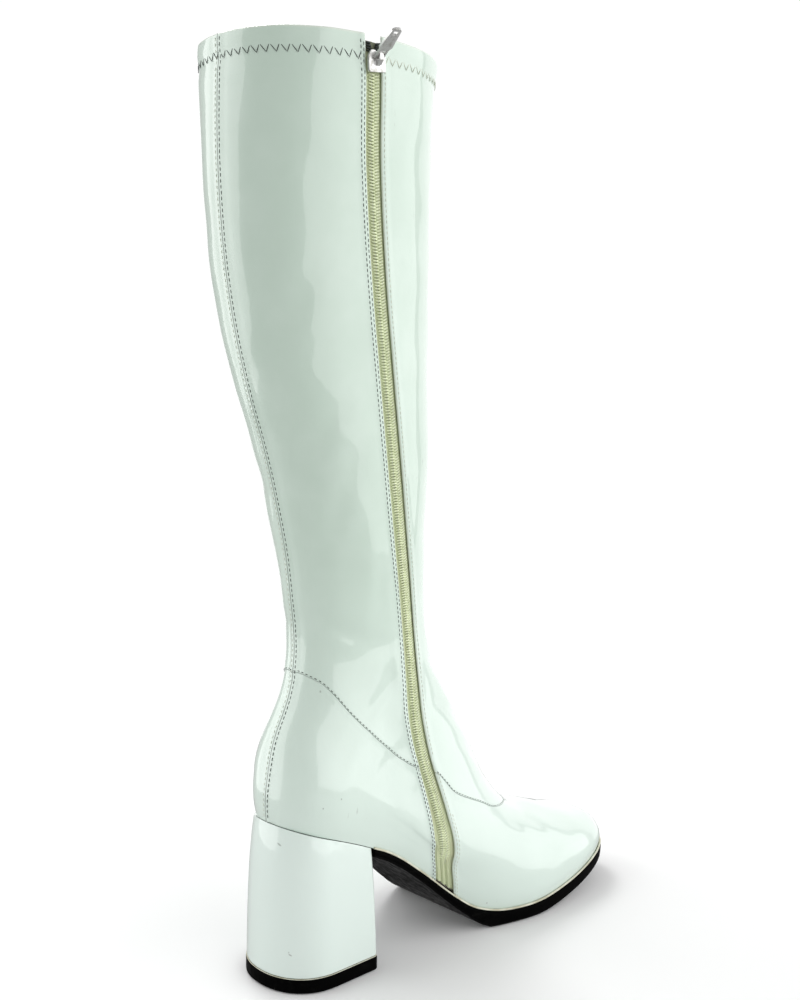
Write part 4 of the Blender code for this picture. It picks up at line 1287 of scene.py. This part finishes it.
FLOOR_SIZE, FLOOR_DROP = 12.0, 0.0002
FLOOR_GLOW = 0.02
FADE_FROM, FADE_TO = 0.30, 0.62          # the floor fades out between these distances, in metres
SKY, SKY_SEEN = 0.42, 0.60               # light of the room, and what the camera sees on top
# Upright panels of light: azimuth and half width seen from the boot in degrees, distance in
# metres, and radiance.
SIDE_PANELS = (("panel_far", 122.0, 40.0, 1.6, 0.75),
               ("panel_right", 26.5, 48.5, 1.5, 1.43),
               ("panel_left", -137.5, 32.5, 1.5, 1.6))


def soft_panel(name, place, size, radiance, aim):
    """Rectangular light that faces a point and isn't seen by the camera; sizes in metres."""
    light = bpy.data.lights.new(name, "AREA")
    light.shape = "RECTANGLE"
    light.size, light.size_y = size
    light.energy = radiance * math.pi * light.size * light.size_y
    thing = bpy.data.objects.new(name, light)
    bpy.context.scene.collection.objects.link(thing)
    thing.location = place
    thing.rotation_euler = (Vector(place) - Vector(aim)).to_track_quat("Z", "Y").to_euler()
    thing.visible_camera = False


def build_stage():
    """Pale floor, soft panels on both sides and a plain pale surrounding."""
    deselect()
    bpy.ops.mesh.primitive_plane_add(size=FLOOR_SIZE, location=(0, 0, -FLOOR_DROP))
    floor = settle(take("pale_floor"))
    material, t, shader = look("pale_floor", (0.87, 0.87, 0.87), 0.9)
    place = t.place()
    tone = t.mix(t.noise(place, 3.0, 2.0), (0.86, 0.86, 0.86, 1), (0.88, 0.88, 0.88, 1))
    t.feed(shader.inputs["Base Color"], tone)
    away = t.add("ShaderNodeVectorMath", operation="LENGTH")
    t.feed(away.inputs[0], place)
    t.feed(shader.inputs["Alpha"], t.ramp(away.outputs["Value"], FADE_FROM, FADE_TO, 1.0, 0.0))
    shader.inputs["Emission Color"].default_value = (1.0, 1.0, 1.0, 1.0)
    shader.inputs["Emission Strength"].default_value = FLOOR_GLOW
    floor.data.materials.append(material)
    floor.visible_glossy = False

    soft_panel("panel_top", (-0.72, 0.22, 1.35), (0.5, 0.5), 8.0, (0.0, 0.06, 0.05))
    low, high = -0.3, 2.3
    for name, azimuth, half_angle, distance, radiance in SIDE_PANELS:
        turn = math.radians(azimuth)
        middle = (low + high) / 2
        place = (math.cos(turn) * distance, math.sin(turn) * distance, middle)
        size = (2 * distance * math.tan(math.radians(half_angle)), high - low)
        soft_panel(name, place, size, radiance, (0.0, 0.0, middle))
    world = bpy.data.worlds.new("pale_room")
    bpy.context.scene.world = world
    world.use_nodes = True
    t = Tree(world.node_tree)
    sky = next(n for n in world.node_tree.nodes if n.type == "BACKGROUND")
    path = t.add("ShaderNodeLightPath")
    t.feed(sky.inputs["Strength"], t.math("MULTIPLY_ADD", path.outputs["Is Camera Ray"], SKY_SEEN, SKY))
    sky.inputs["Color"].default_value = (1.0, 1.0, 1.0, 1.0)


def build_camera():
    """Camera of the photo, as fitted to the boot's outlines."""
    right = Vector((0.6890, 0.7246, 0.0136))
    up = Vector((-0.0828, 0.0601, 0.9948))
    forward = Vector((-0.7200, 0.6865, -0.1014))
    lens = bpy.data.cameras.new("photo_camera")
    lens.lens = 43.19
    lens.sensor_width = 36.0
    lens.clip_start = 0.02
    camera = bpy.data.objects.new("photo_camera", lens)
    bpy.context.scene.collection.objects.link(camera)
    place = Matrix((right, up, -forward)).transposed().to_4x4()
    place.translation = (0.4602194, -0.3732467, 0.3024374)
    camera.matrix_world = place
    bpy.context.scene.camera = camera


def main():
    """Makes every piece of the boot, its stage and the photo's camera."""
    looks = build_looks()
    upper = build_upper(looks["vinyl"], looks["lining"])
    build_threads(Skin(upper), looks["dark_thread"], looks["thread_pale_and_glare"])
    build_tapes(looks["cloth"])
    build_coil(looks["nylon"], looks["thread_pale_and_glare"])
    # The open teeth get the dark thread as painted shade.
    build_open_teeth(looks["dark_thread"])
    build_heel(looks["heel_vinyl"])
    build_beads(looks["cream"])
    slider = copy_of("zip_slider", "zip_slider_body", 0.35)
    dress(slider, "boot", "silver_metal", looks["metal"])
    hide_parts("zip_slider")
    pull = copy_of("zip_pull", "zip_pull_tab", 0.28)
    dress(pull, "pull", "silver_metal", looks["metal"])
    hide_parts("zip_pull")
    insole = copy_of("insole", "insole_cover", 0.5, 2)
    dress(insole, "boot", "insole_cover", looks["sock"])
    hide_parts("insole")
    for node in ("outsole", "top_lift"):
        for one in bpy.data.objects[node].material_slots:
            one.material = looks["rubber"]
    build_stage()
    build_camera()


main()
bpy.context.scene.view_settings.view_transform = "Standard"
